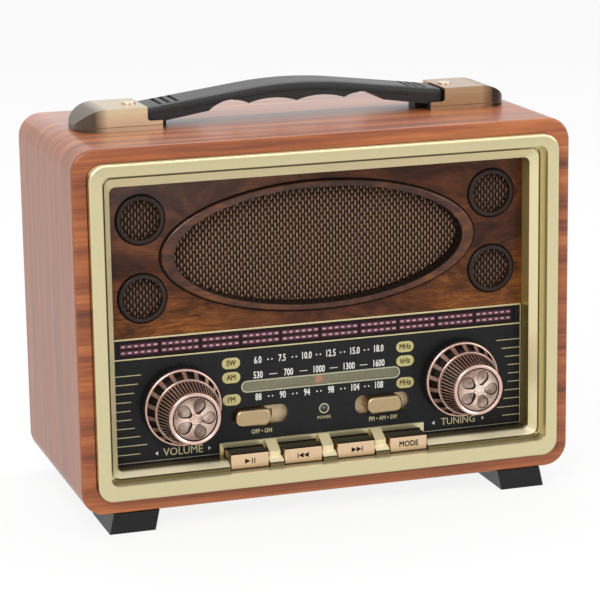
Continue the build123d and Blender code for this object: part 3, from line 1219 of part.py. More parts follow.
# Moulded grip: tented crown with cross ribs, a groove along each side, finger arches and strap ends
strap_top = BRACKET_HEIGHT - BRACKET_WALL - SEAT_GAP
finger_ends = [(FINGER_PITCH * step, FINGER_CUSP) for step in (-1, 0, 1)]
finger_ends = [(-GRIP_FLAT_END, GRIP_FLAT_HEIGHT)] + finger_ends + [(GRIP_FLAT_END, GRIP_FLAT_HEIGHT)]
crown_slope = (GRIP_PEAK - GRIP_SHOULDER_HEIGHT) / GRIP_SHOULDER
groove_end = GRIP_RIB_START - GRIP_RIB
with BuildPart() as handle_grip:
    with BuildSketch(handle_plane()):
        with BuildLine():
            FilletPolyline(
                (-GRIP_SHOULDER, GRIP_SHOULDER_HEIGHT),
                (0, GRIP_PEAK),
                (GRIP_SHOULDER, GRIP_SHOULDER_HEIGHT),
                radius=GRIP_CREST_RADIUS,
            )
            for start, end in zip(finger_ends, finger_ends[1:]):
                middle = ((start[0] + end[0]) / 2, max(start[1], end[1]) + FINGER_RISE)
                ThreePointArc(start, middle, end)
            for side in (-1, 1):
                Polyline(
                    (side * GRIP_FLAT_END, GRIP_FLAT_HEIGHT),
                    (side * BRACKET_INNER, BASE_THICKNESS),
                    (side * GRIP_SHOULDER, BASE_THICKNESS),
                    (side * GRIP_SHOULDER, GRIP_SHOULDER_HEIGHT),
                )
        make_face()
    extrude(amount=GRIP_WIDTH / 2, both=True)
    arch_top = CABINET_TOP + FINGER_CUSP + FINGER_RISE + STOP_GAP
    crown_edges = [
        edge
        for edge in handle_grip.edges()
        if edge.center().Z > arch_top and abs(edge.center().Y - HANDLE_Y) > GRIP_WIDTH / 3
    ]
    fillet(crown_edges, GRIP_EDGE)
    with BuildSketch(handle_plane()):
        for side in (-1, 1):
            for index in range(GRIP_RIB_COUNT):
                rib_x = GRIP_RIB_START + index * GRIP_RIB_PITCH
                with Locations((side * rib_x, GRIP_PEAK - rib_x * crown_slope)):
                    Rectangle(GRIP_RIB, GRIP_RIB, rotation=-side * degrees(atan2(crown_slope, 1)))
    extrude(amount=GRIP_WIDTH / 2 - GRIP_EDGE, both=True, mode=Mode.SUBTRACT)
    for face_side in (-1, 1):
        with BuildSketch(handle_plane().offset(face_side * GRIP_WIDTH / 2)):
            with BuildLine():
                for drop in (GROOVE_DROP, GROOVE_DROP + GROOVE_WIDTH):
                    FilletPolyline(
                        (-groove_end, GRIP_PEAK - groove_end * crown_slope - drop),
                        (0, GRIP_PEAK - drop),
                        (groove_end, GRIP_PEAK - groove_end * crown_slope - drop),
                        radius=GRIP_CREST_RADIUS,
                    )
                for side in (-1, 1):
                    groove_top = GRIP_PEAK - groove_end * crown_slope - GROOVE_DROP
                    Line((side * groove_end, groove_top), (side * groove_end, groove_top - GROOVE_WIDTH))
            make_face()
        extrude(amount=-face_side * GROOVE_DEPTH, mode=Mode.SUBTRACT)
    with BuildSketch(handle_plane()):
        for side in (-1, 1):
            strap_x = side * (GRIP_SHOULDER + GRIP_END) / 2
            span_rectangle(STRAP_LENGTH / 2, BASE_THICKNESS, strap_top, strap_x)
    extrude(amount=GRIP_WIDTH / 2 - GRIP_EDGE, both=True)
    with BuildSketch(top_plane(BASE_THICKNESS)):
        for side in (-1, 1):
            with Locations((side * RIVET_X, 0)):
                Circle(RIVET_RADIUS + SHAFT_GAP)
    extrude(amount=BRACKET_HEIGHT, mode=Mode.SUBTRACT)
save(handle_grip.part, "handle_grip")

with BuildPart() as handle_rivets:
    with BuildSketch(top_plane(BRACKET_HEIGHT)):
        for side in (-1, 1):
            with Locations((side * RIVET_X, 0)):
                Circle(RIVET_RADIUS)
    extrude(amount=-(BRACKET_HEIGHT + WALL))
    with BuildSketch(top_plane(BRACKET_HEIGHT)):
        for side in (-1, 1):
            with Locations((side * RIVET_X, 0)):
                Circle(RIVET_HEAD)
    extrude(amount=RIVET_HEAD_HEIGHT)
    fillet(handle_rivets.faces().group_by(Axis.Z)[-1].edges(), RIVET_HEAD_HEIGHT / 2)
save(handle_rivets.part, "handle_rivets")

# Splayed feet with a recess for the screw head
foot_places = [(side, foot_y) for side in (-1, 1) for foot_y in FOOT_Y]
with BuildPart() as feet:
    for foot_side, foot_y in foot_places:
        foot_x = foot_side * FOOT_X
        with BuildSketch(Plane.XY):
            with Locations((foot_x + foot_side * FOOT_SPLAY, foot_y)):
                Rectangle(FOOT_WIDTH, FOOT_LENGTH)
        with BuildSketch(Plane.XY.offset(FOOT_HEIGHT)):
            with Locations((foot_x, foot_y)):
                Rectangle(FOOT_WIDTH, FOOT_LENGTH)
        loft(ruled=True)
    foot_centres = [(foot_side * FOOT_X, foot_y) for foot_side, foot_y in foot_places]
    with BuildSketch(Plane.XY):
        with Locations(*foot_centres):
            Circle(FOOT_RECESS_RADIUS)
    extrude(amount=FOOT_RECESS, mode=Mode.SUBTRACT)
    with BuildSketch(Plane.XY):
        with Locations(*foot_centres):
            Circle(SCREW_RADIUS + SHAFT_GAP)
    extrude(amount=FOOT_HEIGHT, mode=Mode.SUBTRACT)
save(feet.part, "feet")

# Rear panel with vents, socket openings and screw holes
with BuildPart() as rear_panel:
    with BuildSketch(face_at(REAR_FACE - REAR_THICKNESS)):
        inset_rectangle(WALL + SEAT_GAP, WALL + SEAT_GAP, WALL + SEAT_GAP, OPENING_CORNER - SEAT_GAP)
        with Locations((0, OVAL_HEIGHT)):
            with GridLocations(VENT_LENGTH + VENT_PITCH, VENT_PITCH, 2, VENT_ROWS):
                SlotOverall(VENT_LENGTH, VENT_WIDTH, mode=Mode.SUBTRACT)
        for socket_x, socket_width, socket_height, socket_depth in SQUARE_SOCKETS:
            with Locations((socket_x, SOCKET_HEIGHT)):
                Rectangle(socket_width + 2 * SEAT_GAP, socket_height + 2 * SEAT_GAP, mode=Mode.SUBTRACT)
        with Locations((AUX_X, SOCKET_HEIGHT)):
            Circle(AUX_RADIUS + SEAT_GAP, mode=Mode.SUBTRACT)
        with Locations(*CORNER_SCREWS):
            Circle(SCREW_RADIUS + SHAFT_GAP, mode=Mode.SUBTRACT)
    extrude(amount=-REAR_THICKNESS)
save(rear_panel.part, "rear_panel")

# Screws of the case: front and rear corners, feet and handle brackets
corner_places = [(x, -height) for x, height in CORNER_SCREWS]
handle_places = [
    (side * HANDLE_SCREW_X, spread * HANDLE_SCREW_SPREAD / 2) for side in (-1, 1) for spread in (-1, 1)
]
with BuildPart() as case_screws:
    add_screws(
        back_at(PANEL_BACK + BLOCK_LENGTH),
        corner_places,
        PANEL_THICKNESS + BLOCK_LENGTH + SCREW_LENGTH - SCREW_TIP,
    )
    add_screws(
        back_at(REAR_FACE),
        corner_places,
        REAR_THICKNESS + SCREW_LENGTH - SCREW_TIP,
    )
    add_screws(
        Plane((0, 0, FOOT_RECESS), x_dir=(1, 0, 0), z_dir=(0, 0, -1)),
        [(x, -y) for x, y in foot_centres],
        FOOT_HEIGHT - FOOT_RECESS + WALL - SCREW_TIP,
    )
    add_screws(
        Plane((0, HANDLE_Y, CABINET_TOP - WALL), x_dir=(1, 0, 0), z_dir=(0, 0, -1)),
        handle_places,
        WALL + BRACKET_TOE - SCREW_TIP,
    )
save(case_screws.part, "case_screws")

# Sockets in the rear panel: two square shells and a round jack, each with a lip behind the panel
with BuildPart() as rear_sockets:
    with BuildSketch(face_at(REAR_FACE - REAR_THICKNESS, height=SOCKET_HEIGHT)):
        for socket_x, socket_width, socket_height, socket_depth in SQUARE_SOCKETS:
            with Locations((socket_x, 0)):
                Rectangle(socket_width + 2 * SOCKET_LIP, socket_height + 2 * SOCKET_LIP)
    extrude(amount=SOCKET_LIP)
    for socket_x, socket_width, socket_height, socket_depth in SQUARE_SOCKETS:
        with BuildSketch(face_at(REAR_FACE, socket_x, SOCKET_HEIGHT)):
            RectangleRounded(socket_width, socket_height, SOCKET_WALL)
        extrude(amount=socket_depth)
        with BuildSketch(face_at(REAR_FACE, socket_x, SOCKET_HEIGHT)):
            Rectangle(socket_width - 2 * SOCKET_WALL, socket_height - 2 * SOCKET_WALL)
        extrude(amount=socket_depth - SOCKET_WALL, mode=Mode.SUBTRACT)
    with BuildSketch(face_at(REAR_FACE, AUX_X, SOCKET_HEIGHT)):
        Circle(AUX_RADIUS)
    extrude(amount=REAR_THICKNESS)
    with BuildSketch(face_at(REAR_FACE - REAR_THICKNESS, AUX_X, SOCKET_HEIGHT)):
        Rectangle(2 * (AUX_RADIUS + SOCKET_LIP), 2 * (AUX_RADIUS + SOCKET_LIP))
    extrude(amount=AUX_DEPTH - REAR_THICKNESS)
    with BuildSketch(face_at(REAR_FACE, AUX_X, SOCKET_HEIGHT)):
        Circle(AUX_BORE)
    extrude(amount=AUX_DEPTH - SOCKET_LIP, mode=Mode.SUBTRACT)
save(rear_sockets.part, "rear_sockets")

# Telescopic aerial: base with its pivot pin, knuckle and three nested sections
with BuildPart() as aerial_base:
    with BuildSketch(face_at(REAR_FACE, AERIAL_X, AERIAL_HEIGHT)):
        RectangleRounded(AERIAL_BASE_WIDTH, AERIAL_BASE_HEIGHT, AERIAL_BASE_THICKNESS)
    extrude(amount=-AERIAL_BASE_THICKNESS)
    with BuildSketch(face_at(REAR_FACE + AERIAL_BASE_THICKNESS, AERIAL_X, AERIAL_HEIGHT)):
        Circle(KNUCKLE_RADIUS)
    extrude(amount=-AERIAL_STANDOFF)
    with BuildSketch(face_at(REAR_FACE, AERIAL_X, AERIAL_HEIGHT)):
        Circle(PIN_RADIUS)
    extrude(amount=-(AERIAL_REACH - REAR_FACE))
save(aerial_base.part, "aerial_base")

aerial_plane = along_at(AERIAL_DEPTH, AERIAL_HEIGHT, AERIAL_X - KNUCKLE_RADIUS, -1)
with BuildPart() as aerial_knuckle:
    with BuildSketch(face_at(AERIAL_DEPTH - KNUCKLE_THICKNESS / 2, AERIAL_X, AERIAL_HEIGHT)):
        Circle(KNUCKLE_RADIUS)
        with Locations((-KNUCKLE_RADIUS / 2, 0)):
            Rectangle(KNUCKLE_RADIUS, 2 * AERIAL_RADIUS)
        Circle(PIN_RADIUS + SHAFT_GAP, mode=Mode.SUBTRACT)
    extrude(amount=-KNUCKLE_THICKNESS)
save(aerial_knuckle.part, "aerial_knuckle")

aerial_outer = AERIAL_RADIUS
for section in range(AERIAL_SECTIONS):
    aerial_inner = aerial_outer - AERIAL_WALL
    section_start = section * AERIAL_STEP
    with BuildPart() as aerial_section:
        with BuildSketch(aerial_plane.offset(section_start)):
            Circle(aerial_outer)
        extrude(amount=AERIAL_LENGTH)
        if section < AERIAL_SECTIONS - 1:
            with BuildSketch(aerial_plane.offset(section_start + AERIAL_STEP / 2)):
                Circle(aerial_inner)
            extrude(amount=AERIAL_LENGTH, mode=Mode.SUBTRACT)
        else:
            with BuildSketch(aerial_plane.offset(section_start + AERIAL_LENGTH)):
                Circle(AERIAL_TIP_RADIUS)
            extrude(amount=AERIAL_TIP_LENGTH)
            fillet(aerial_section.faces().sort_by(Axis.X)[0].edges(), AERIAL_TIP_RADIUS / 2)
    save(aerial_section.part, f"aerial_section_{section + 1}")
    aerial_outer = aerial_inner - AERIAL_GAP

# Battery tray on the cabinet floor with two cells
cell_pitch = 2 * CELL_RADIUS + TRAY_WALL
tray_depth = REAR_FACE - REAR_THICKNESS - TRAY_GAP - TRAY_WALL - cell_pitch
tray_plane = Plane((0, CABINET_FRONT + tray_depth, FOOT_HEIGHT + WALL), z_dir=(0, 0, 1))
with BuildPart() as battery_tray:
    with BuildSketch(tray_plane):
        Rectangle(CELL_LENGTH + 2 * (TRAY_WALL + SEAT_GAP), 2 * (cell_pitch + TRAY_WALL))
    extrude(amount=TRAY_HEIGHT)
    with BuildSketch(tray_plane.offset(TRAY_WALL)):
        with GridLocations(1, cell_pitch, 1, 2):
            Rectangle(CELL_LENGTH + 2 * SEAT_GAP, 2 * (CELL_RADIUS + SEAT_GAP))
    extrude(amount=TRAY_HEIGHT, mode=Mode.SUBTRACT)
save(battery_tray.part, "battery_tray")

cell_height = TRAY_WALL + SEAT_GAP + CELL_RADIUS
cell_plane = Plane(tray_plane.origin + Vector(0, 0, cell_height), x_dir=(0, 1, 0), z_dir=(1, 0, 0))
with BuildPart() as battery_cells:
    with BuildSketch(cell_plane):
        with GridLocations(cell_pitch, 1, 2, 1):
            Circle(CELL_RADIUS)
    extrude(amount=CELL_LENGTH / 2, both=True)
save(battery_cells.part, "battery_cells")

# Ferrite rod with its coil, held under the cabinet's top
ferrite_plane = along_at(FERRITE_DEPTH, INNER_TOP - FERRITE_DROP)
with BuildPart() as ferrite_rod:
    with BuildSketch(ferrite_plane):
        Circle(FERRITE_RADIUS)
    extrude(amount=FERRITE_LENGTH / 2, both=True)
save(ferrite_rod.part, "ferrite_rod")

with BuildPart() as ferrite_coil:
    with BuildSketch(ferrite_plane):
        Circle(COIL_RADIUS)
        Circle(FERRITE_RADIUS + SHAFT_GAP, mode=Mode.SUBTRACT)
    extrude(amount=COIL_LENGTH / 2, both=True)
save(ferrite_coil.part, "ferrite_coil")

with BuildPart() as ferrite_holders:
    for side in (-1, 1):
        with BuildSketch(ferrite_plane.offset(side * HOLDER_X - HOLDER_THICKNESS / 2)):
            with Locations((0, (FERRITE_DROP - HOLDER_WIDTH / 2) / 2)):
                Rectangle(HOLDER_WIDTH, FERRITE_DROP + HOLDER_WIDTH / 2)
            Circle(FERRITE_RADIUS + SHAFT_GAP, mode=Mode.SUBTRACT)
        extrude(amount=HOLDER_THICKNESS)
save(ferrite_holders.part, "ferrite_holders")
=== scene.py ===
import math

import bpy
from mathutils import Matrix, Vector


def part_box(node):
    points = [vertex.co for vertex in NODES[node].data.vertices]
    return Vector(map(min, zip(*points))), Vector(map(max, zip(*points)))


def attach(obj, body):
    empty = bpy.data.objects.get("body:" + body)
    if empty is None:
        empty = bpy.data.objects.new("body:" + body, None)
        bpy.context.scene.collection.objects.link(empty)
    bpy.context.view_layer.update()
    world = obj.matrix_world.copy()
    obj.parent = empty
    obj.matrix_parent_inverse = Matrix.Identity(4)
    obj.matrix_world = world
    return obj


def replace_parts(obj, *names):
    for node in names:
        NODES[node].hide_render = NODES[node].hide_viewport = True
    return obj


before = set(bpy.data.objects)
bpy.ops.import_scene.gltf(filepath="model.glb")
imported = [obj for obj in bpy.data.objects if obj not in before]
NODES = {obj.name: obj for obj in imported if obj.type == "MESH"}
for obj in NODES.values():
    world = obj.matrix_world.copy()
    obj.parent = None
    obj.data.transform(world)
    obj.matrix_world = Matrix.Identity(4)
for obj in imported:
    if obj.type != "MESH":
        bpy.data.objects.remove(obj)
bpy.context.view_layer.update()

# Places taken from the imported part, in metres
CABINET_LOW, CABINET_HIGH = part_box("cabinet_shell")
FRONT = CABINET_LOW.y
BASE = CABINET_LOW.z
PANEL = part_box("dial_panel")[0].y
MM = 0.001

# How far fine grain stands out of a surface, in metres
GRAIN_DEPTH = 0.0001

# Zones of the bezel, in metres: the opening inside its band, then the lip, groove and walls within it,
# where light and shade are painted
OPENING_SIDE = 0.1115
OPENING_LOW = BASE + 0.0147
OPENING_HIGH = BASE + 0.1644
UPPER_BAND = BASE + 0.16
LIP_INSET = 0.00232
LIP_BACK = FRONT + 0.0053
LIP_SHADE = FRONT + 0.0057
LIP_TOP = BASE + 0.0203
STEP_SPAN = (-0.0003, 0.00235)
STEP_FRONT = FRONT - 0.0045
GROOVE_INSET = 0.00185
GROOVE_HALF = 0.00047
GROOVE_SPAN = (FRONT + 0.0015, FRONT + 0.0029)
RIGHT_WALL = 0.1
WALL_FRONT = FRONT + 0.0056
DIAL_TOP = BASE + 0.082

# Handle brackets, in metres: where painted shade darkens the toes, and the line above the cabinet
TOE_START = 0.0960
FOOT_LINE = CABINET_HIGH.z + 0.0021
FOOT_LINE_HALF = 0.00025

# Knobs, in millimetres: places, then zones ahead of the dial panel
KNOB_X = 72.0
KNOB_HEIGHT = 47.0
KNOB_WINDOWS = 18
KNOB_RIBS = 54
WINDOW_SPAN = (7.2, 13.2)
RIB_SPAN = (15.6, 25.2)
CONE_SPAN = (6.95, 13.45)
CONE_RADII = (18.4, 15.45)
CONE_MARGIN = 0.3
FLANK_SPANS = ((4.7, 5.7), (13.4, 13.6), (14.9, 15.1), (25.5, 26.2))

# Knob caps, in millimetres: each opening is outlined by three circles at distances from the hub
CAP_SPOKES = 5
CAP_CIRCLES = ((4.3, 1.6), (5.6, 2.25), (6.9, 2.9))
CAP_OUTLINE_HALF = 0.22
CAP_RIM = 10.4
CAP_HUB = 4.0
CAP_FLOOR = 0.95


def place(x, height, y):
    """Point from millimetres across and up from the cabinet's bottom, at a depth in metres."""
    return Vector((x * MM, y, BASE + height * MM))


def front_of(node):
    """Middle of a node across and up from the cabinet's bottom, in millimetres, and its front in metres."""
    low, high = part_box(node)
    x = (low.x + high.x) / 2 / MM
    height = ((low.z + high.z) / 2 - BASE) / MM
    return x, height, low.y


class Look:
    """A material with its Principled shader and short ways to add nodes to it."""

    def __init__(self, name, color, rough=0.5, metal=0.0, coat=0.0, coat_rough=0.1):
        self.mat = bpy.data.materials.new(name)
        self.mat.use_nodes = True
        self.tree = self.mat.node_tree
        self.bsdf = self.tree.nodes["Principled BSDF"]
        self.set("Base Color", (*color, 1))
        self.set("Roughness", rough)
        self.set("Metallic", metal)
        self.set("Coat Weight", coat)
        self.set("Coat Roughness", coat_rough)
        self.mat.diffuse_color = (*color, 1)
        self.coord = self.node("ShaderNodeTexCoord").outputs["Object"]

    def set(self, socket, value):
        self.bsdf.inputs[socket].default_value = value

    def link(self, socket, value):
        self.tree.links.new(value, self.bsdf.inputs[socket])

    def color(self, value):
        self.link("Base Color", value)

    def roughness(self, value):
        self.link("Roughness", value)

    def node(self, kind, **settings):
        made = self.tree.nodes.new(kind)
        for key, value in settings.items():
            setattr(made, key, value)
        return made

    def feed(self, socket, value):
        """Links an output to an input socket, or sets a plain value on it."""
        if isinstance(value, bpy.types.NodeSocket):
            self.tree.links.new(value, socket)
        else:
            socket.default_value = value

    def math(self, operation, a, b=0.0, clamp=False):
        made = self.node("ShaderNodeMath", operation=operation, use_clamp=clamp)
        self.feed(made.inputs[0], a)
        self.feed(made.inputs[1], b)
        return made.outputs[0]

    def product(self, first, *others):
        for value in others:
            first = self.math("MULTIPLY", first, value)
        return first

    def above(self, value, limit):
        """1 above a limit, else 0."""
        return self.math("GREATER_THAN", value, limit)

    def below(self, value, limit):
        """1 below a limit, else 0."""
        return self.math("LESS_THAN", value, limit)

    def between(self, value, low, high):
        """1 between two limits, else 0."""
        return self.product(self.above(value, low), self.below(value, high))

    def near(self, value, middle, reach):
        """1 within reach of a middle, else 0."""
        made = self.math("COMPARE", value, middle)
        made.node.inputs[2].default_value = reach
        return made

    def rise(self, value, start, rate):
        """0 up to a start, then up to 1 at a rate; a negative rate works downwards from the start."""
        return self.math("MULTIPLY", self.math("SUBTRACT", value, start), rate, clamp=True)

    def distance(self, across, up):
        """Distance from the point where both values are 0."""
        squares = self.math("ADD", self.math("MULTIPLY", across, across), self.math("MULTIPLY", up, up))
        return self.math("SQRT", squares)

    def turns(self, across, up, count):
        """Angle from the nearest of a count of even spokes round the point where both values are 0."""
        return self.math("PINGPONG", self.math("ARCTAN2", up, across), math.pi / count)

    def axes(self, vector=None):
        made = self.node("ShaderNodeSeparateXYZ")
        self.feed(made.inputs[0], vector or self.coord)
        return made.outputs

    def facing(self):
        """The three parts of the direction in which the surface faces."""
        return self.axes(self.node("ShaderNodeTexCoord").outputs["Normal"])

    def vector(self, x, y, z):
        made = self.node("ShaderNodeCombineXYZ")
        for socket, value in zip(made.inputs, (x, y, z)):
            self.feed(socket, value)
        return made.outputs[0]

    def scaled(self, x, y, z):
        made = self.node("ShaderNodeVectorMath", operation="MULTIPLY")
        self.feed(made.inputs[0], self.coord)
        made.inputs[1].default_value = (x, y, z)
        return made.outputs[0]

    def noise(self, vector, detail=4.0, rough=0.55, distort=0.0):
        made = self.node("ShaderNodeTexNoise")
        self.feed(made.inputs["Vector"], vector)
        made.inputs["Scale"].default_value = 1.0
        made.inputs["Detail"].default_value = detail
        made.inputs["Roughness"].default_value = rough
        made.inputs["Distortion"].default_value = distort
        return made.outputs[0]

    def ramp(self, value, *stops):
        made = self.node("ShaderNodeValToRGB")
        self.feed(made.inputs[0], value)
        points = made.color_ramp.elements
        while len(points) < len(stops):
            points.new(0.5)
        for point, (at, color) in zip(points, stops):
            point.position = at
            point.color = (*color, 1)
        return made.outputs[0]

    def mix(self, share, a, b):
        made = self.node("ShaderNodeMix", data_type="RGBA")
        self.feed(made.inputs[0], share)
        self.feed(made.inputs[6], (*a, 1) if isinstance(a, tuple) else a)
        self.feed(made.inputs[7], (*b, 1) if isinstance(b, tuple) else b)
        return made.outputs[2]

    def spread(self, value, low, high):
        """Maps a 0 to 1 value to a range."""
        made = self.node("ShaderNodeMapRange")
        self.feed(made.inputs[0], value)
        made.inputs[3].default_value = low
        made.inputs[4].default_value = high
        return made.outputs[0]

    def bump(self, value, strength):
        made = self.node("ShaderNodeBump")
        made.inputs["Strength"].default_value = strength
        made.inputs["Distance"].default_value = GRAIN_DEPTH
        self.feed(made.inputs["Height"], value)
        self.link("Normal", made.outputs[0])


def grained(
    name, color, rough, metal=0.0, coat=0.0, grain=(900, 900, 900), amount=0.06, bump=0.03, gloss=0.5
):
    """A plain finish with fine grain in its colour, roughness and surface."""
    look = Look(name, color, rough, metal, coat)
    look.set("Specular IOR Level", gloss)
    fine = look.noise(look.scaled(*grain), detail=3)
    dark = tuple(c * (1 - amount * 2) for c in color)
    light = tuple(min(1.0, c * (1 + amount * 2)) for c in color)
    look.color(look.ramp(fine, (0.3, dark), (0.7, light)))
    look.roughness(look.spread(fine, rough * (1 - amount * 2), rough * (1 + amount * 2)))
    look.bump(fine, bump)
    return look


def wood():
    """Orange-brown wood, its grain along the front and round the tube; the top shines to the rear."""
    polish = 0.45
    look = Look("wood", (0.34, 0.09, 0.03), 0.45, coat=polish, coat_rough=0.22)
    look.set("Specular IOR Level", 0.3)
    x, y, z = look.axes()
    turned = look.facing()
    is_front = look.above(look.math("ABSOLUTE", turned[1]), 0.6)
    is_side = look.rise(look.math("ABSOLUTE", turned[0]), 0.3, 1.6)
    is_top = look.above(turned[2], 0.7)

    def pick(front, tube):
        """One value on the front and another round the tube."""
        made = look.node("ShaderNodeMix", data_type="FLOAT")
        look.feed(made.inputs[0], is_front)
        look.feed(made.inputs[2], tube)
        look.feed(made.inputs[3], front)
        return made.outputs[0]

    def grain(along, across, along_scale, across_scale, layer, **settings):
        """Noise that is stretched along the grain."""
        long = look.math("MULTIPLY", along, along_scale)
        short = look.math("MULTIPLY", across, across_scale)
        return look.noise(look.vector(long, short, layer), **settings)

    along = pick(x, look.math("ADD", x, z))
    straight = pick(z, y)
    wander = grain(along, straight, 9, 24, 0.0, detail=2)
    across = look.math("ADD", straight, look.math("MULTIPLY", wander, 0.005))
    bands = grain(along, across, 6, 130, is_front, detail=5, rough=0.6)
    lines = grain(along, across, 24, 700, is_front, detail=3)
    base = look.ramp(
        bands,
        (0.30, (0.095, 0.023, 0.009)),
        (0.43, (0.26, 0.066, 0.020)),
        (0.55, (0.40, 0.116, 0.032)),
        (0.72, (0.51, 0.172, 0.050)),
    )
    streak = look.math("MULTIPLY", look.spread(lines, -0.9, 1.5), 0.6, clamp=True)
    figured = look.mix(streak, base, (0.13, 0.032, 0.012))
    look.color(look.mix(look.math("MULTIPLY", is_side, 0.6), figured, (0.27, 0.082, 0.032)))
    rear = look.rise(y, FRONT + 0.04, 20)
    shine = look.math("ADD", polish, look.product(is_top, rear, 0.4))
    look.link("Coat Weight", look.math("SUBTRACT", shine, look.math("MULTIPLY", is_side, 0.09)))
    look.roughness(look.spread(lines, 0.4, 0.52))
    look.bump(lines, 0.03)
    return look


def burl(name, scale=1.0, polish=0.12, mouth=None):
    """Dark burl with swirling figure, warm fibres low down at both ends, dimmer at the right as painted
    light, a shine at the upper left, and painted shade on the wall inside a given mouth.
    """
    look = Look(name, (0.06, 0.02, 0.01), 0.3, coat=polish, coat_rough=0.06)
    look.set("Specular IOR Level", 0.12)
    x, _, z = look.axes()
    swirl = look.noise(look.scaled(22 * scale, 22 * scale, 40 * scale), detail=6, rough=0.62, distort=1.8)
    fibre = look.noise(look.scaled(70, 70, 420), detail=5, rough=0.7, distort=1.2)
    base = look.ramp(
        swirl,
        (0.36, (0.024, 0.007, 0.004)),
        (0.48, (0.056, 0.016, 0.006)),
        (0.60, (0.108, 0.033, 0.010)),
        (0.74, (0.180, 0.064, 0.017)),
    )
    warm = look.ramp(
        fibre,
        (0.32, (0.085, 0.028, 0.006)),
        (0.52, (0.26, 0.080, 0.009)),
        (0.70, (0.45, 0.170, 0.024)),
    )
    outward = look.rise(look.math("ABSOLUTE", x), 0.032, 34)
    downward = look.rise(z, BASE + 0.113, -45)
    ends = look.product(outward, downward)
    patch = look.math("MULTIPLY", ends, look.spread(swirl, -0.35, 1.5), clamp=True)
    # Painted light: the warm patches are dimmer at the right, as if lit from the left
    lit = look.math("SUBTRACT", 0.85, look.math("MULTIPLY", look.above(x, 0.0), 0.2))
    figured = look.mix(look.math("MULTIPLY", patch, lit), base, warm)
    shade = look.math("MULTIPLY", look.spread(fibre, 0.75, -0.55), 0.7, clamp=True)
    wooden = look.mix(shade, figured, (0.018, 0.006, 0.004))
    # Painted shade: the wall inside the mouth is near black
    if mouth:
        half_width, half_height, height = mouth
        across = look.math("DIVIDE", x, half_width)
        up = look.math("DIVIDE", look.math("SUBTRACT", z, height), half_height)
        wooden = look.mix(look.below(look.distance(across, up), 1.0), wooden, (0.008, 0.005, 0.004))
    look.color(wooden)
    leftward = look.rise(x, 0.02, -9)
    upward = look.rise(z, BASE + 0.115, 28)
    corner = look.product(leftward, upward)
    shine = look.math("MULTIPLY", corner, look.spread(swirl, 0.4, 1.0), clamp=True)
    look.link("Coat Weight", look.spread(shine, polish, polish + 0.75))
    look.roughness(look.spread(fibre, 0.22, 0.36))
    return look


def brushed(name, color, rough, grain, depth=0.18):
    """Plated metal with fine brushing along one direction and broader soft bands."""
    look = Look(name, color, rough, 1.0)
    lines = look.noise(look.scaled(*grain), detail=4, rough=0.65)
    broad = look.noise(look.scaled(*(g / 12 for g in grain)), detail=2)
    both = look.math("ADD", look.math("MULTIPLY", lines, 0.5), look.math("MULTIPLY", broad, 0.5))
    look.color(look.ramp(both, (0.35, tuple(c * (1 - depth * 2) for c in color)), (0.62, color)))
    look.roughness(look.spread(lines, rough * 0.75, rough * 1.3))
    look.bump(lines, 0.04)
    return look


def gold_with_painted_light():
    """Satin gold with painted light: shade on the upper band, lower step and groove, a reflection on the
    right inner wall, and paler highlights on the upward faces and lip.
    """
    look = Look("gold_satin", (0.665, 0.59, 0.35), 0.3, 1.0)
    x, y, z = look.axes()
    fine = look.noise(look.scaled(400, 400, 400), detail=3)
    satin = look.ramp(fine, (0.3, (0.65, 0.576, 0.342)), (0.7, (0.68, 0.604, 0.358)))
    # Painted shade: the upper band is darker
    high = look.rise(z, UPPER_BAND, 100)
    satin = look.mix(look.math("MULTIPLY", high, 0.6), satin, (0.53, 0.465, 0.275))

    # How far a point lies inside the band's opening
    aside = look.math("SUBTRACT", OPENING_SIDE, look.math("ABSOLUTE", x))
    above_low = look.math("SUBTRACT", z, OPENING_LOW)
    under_high = look.math("SUBTRACT", OPENING_HIGH, z)
    inset = look.math("MINIMUM", look.math("MINIMUM", above_low, under_high), aside)

    # More matt upward faces and lip, also paler as a painted highlight; the lower lip gets a cream painted
    # highlight that turns to a dark painted reflection towards the rear
    upward = look.rise(look.facing()[2], 0.3, 4.0)
    lip = look.product(look.above(inset, LIP_INSET), look.below(y, LIP_BACK))
    matt_and_painted_highlight = look.math("MAXIMUM", upward, lip)
    satin = look.mix(matt_and_painted_highlight, satin, (0.80, 0.70, 0.42))
    painted_lip_light = look.product(upward, look.below(z, LIP_TOP))
    rear = look.rise(y, LIP_SHADE, 330)
    satin = look.mix(painted_lip_light, satin, look.mix(rear, (1.0, 0.93, 0.66), (0.10, 0.074, 0.032)))

    # Painted shade on the lower step, brown
    step = look.product(look.between(above_low, *STEP_SPAN), look.rise(y, STEP_FRONT, 360))
    satin = look.mix(look.math("MULTIPLY", step, 0.85), satin, (0.22, 0.175, 0.08))

    # Painted reflection on the inner wall at the right: olive, darker beside the dial
    right = look.above(x, RIGHT_WALL)
    wall = look.product(right, look.above(y, WALL_FRONT), look.above(z, LIP_TOP))
    olive = look.mix(look.below(z, DIAL_TOP), (0.42, 0.32, 0.11), (0.22, 0.155, 0.045))
    satin = look.mix(wall, satin, olive)

    # Painted shade in the groove, lighter at the right
    groove = look.product(look.near(inset, GROOVE_INSET, GROOVE_HALF), look.between(y, *GROOVE_SPAN))
    line = look.mix(right, (0.20, 0.165, 0.085), (0.38, 0.32, 0.16))
    look.color(look.mix(groove, satin, line))
    # The wall with the painted reflection is also made less metallic
    matt_and_painted_highlight = look.math("MAXIMUM", matt_and_painted_highlight, look.math("MULTIPLY", wall, 0.7))
    look.link("Metallic", look.spread(matt_and_painted_highlight, 1.0, 0.35))
    look.roughness(look.spread(fine, 0.29, 0.31))
    return look


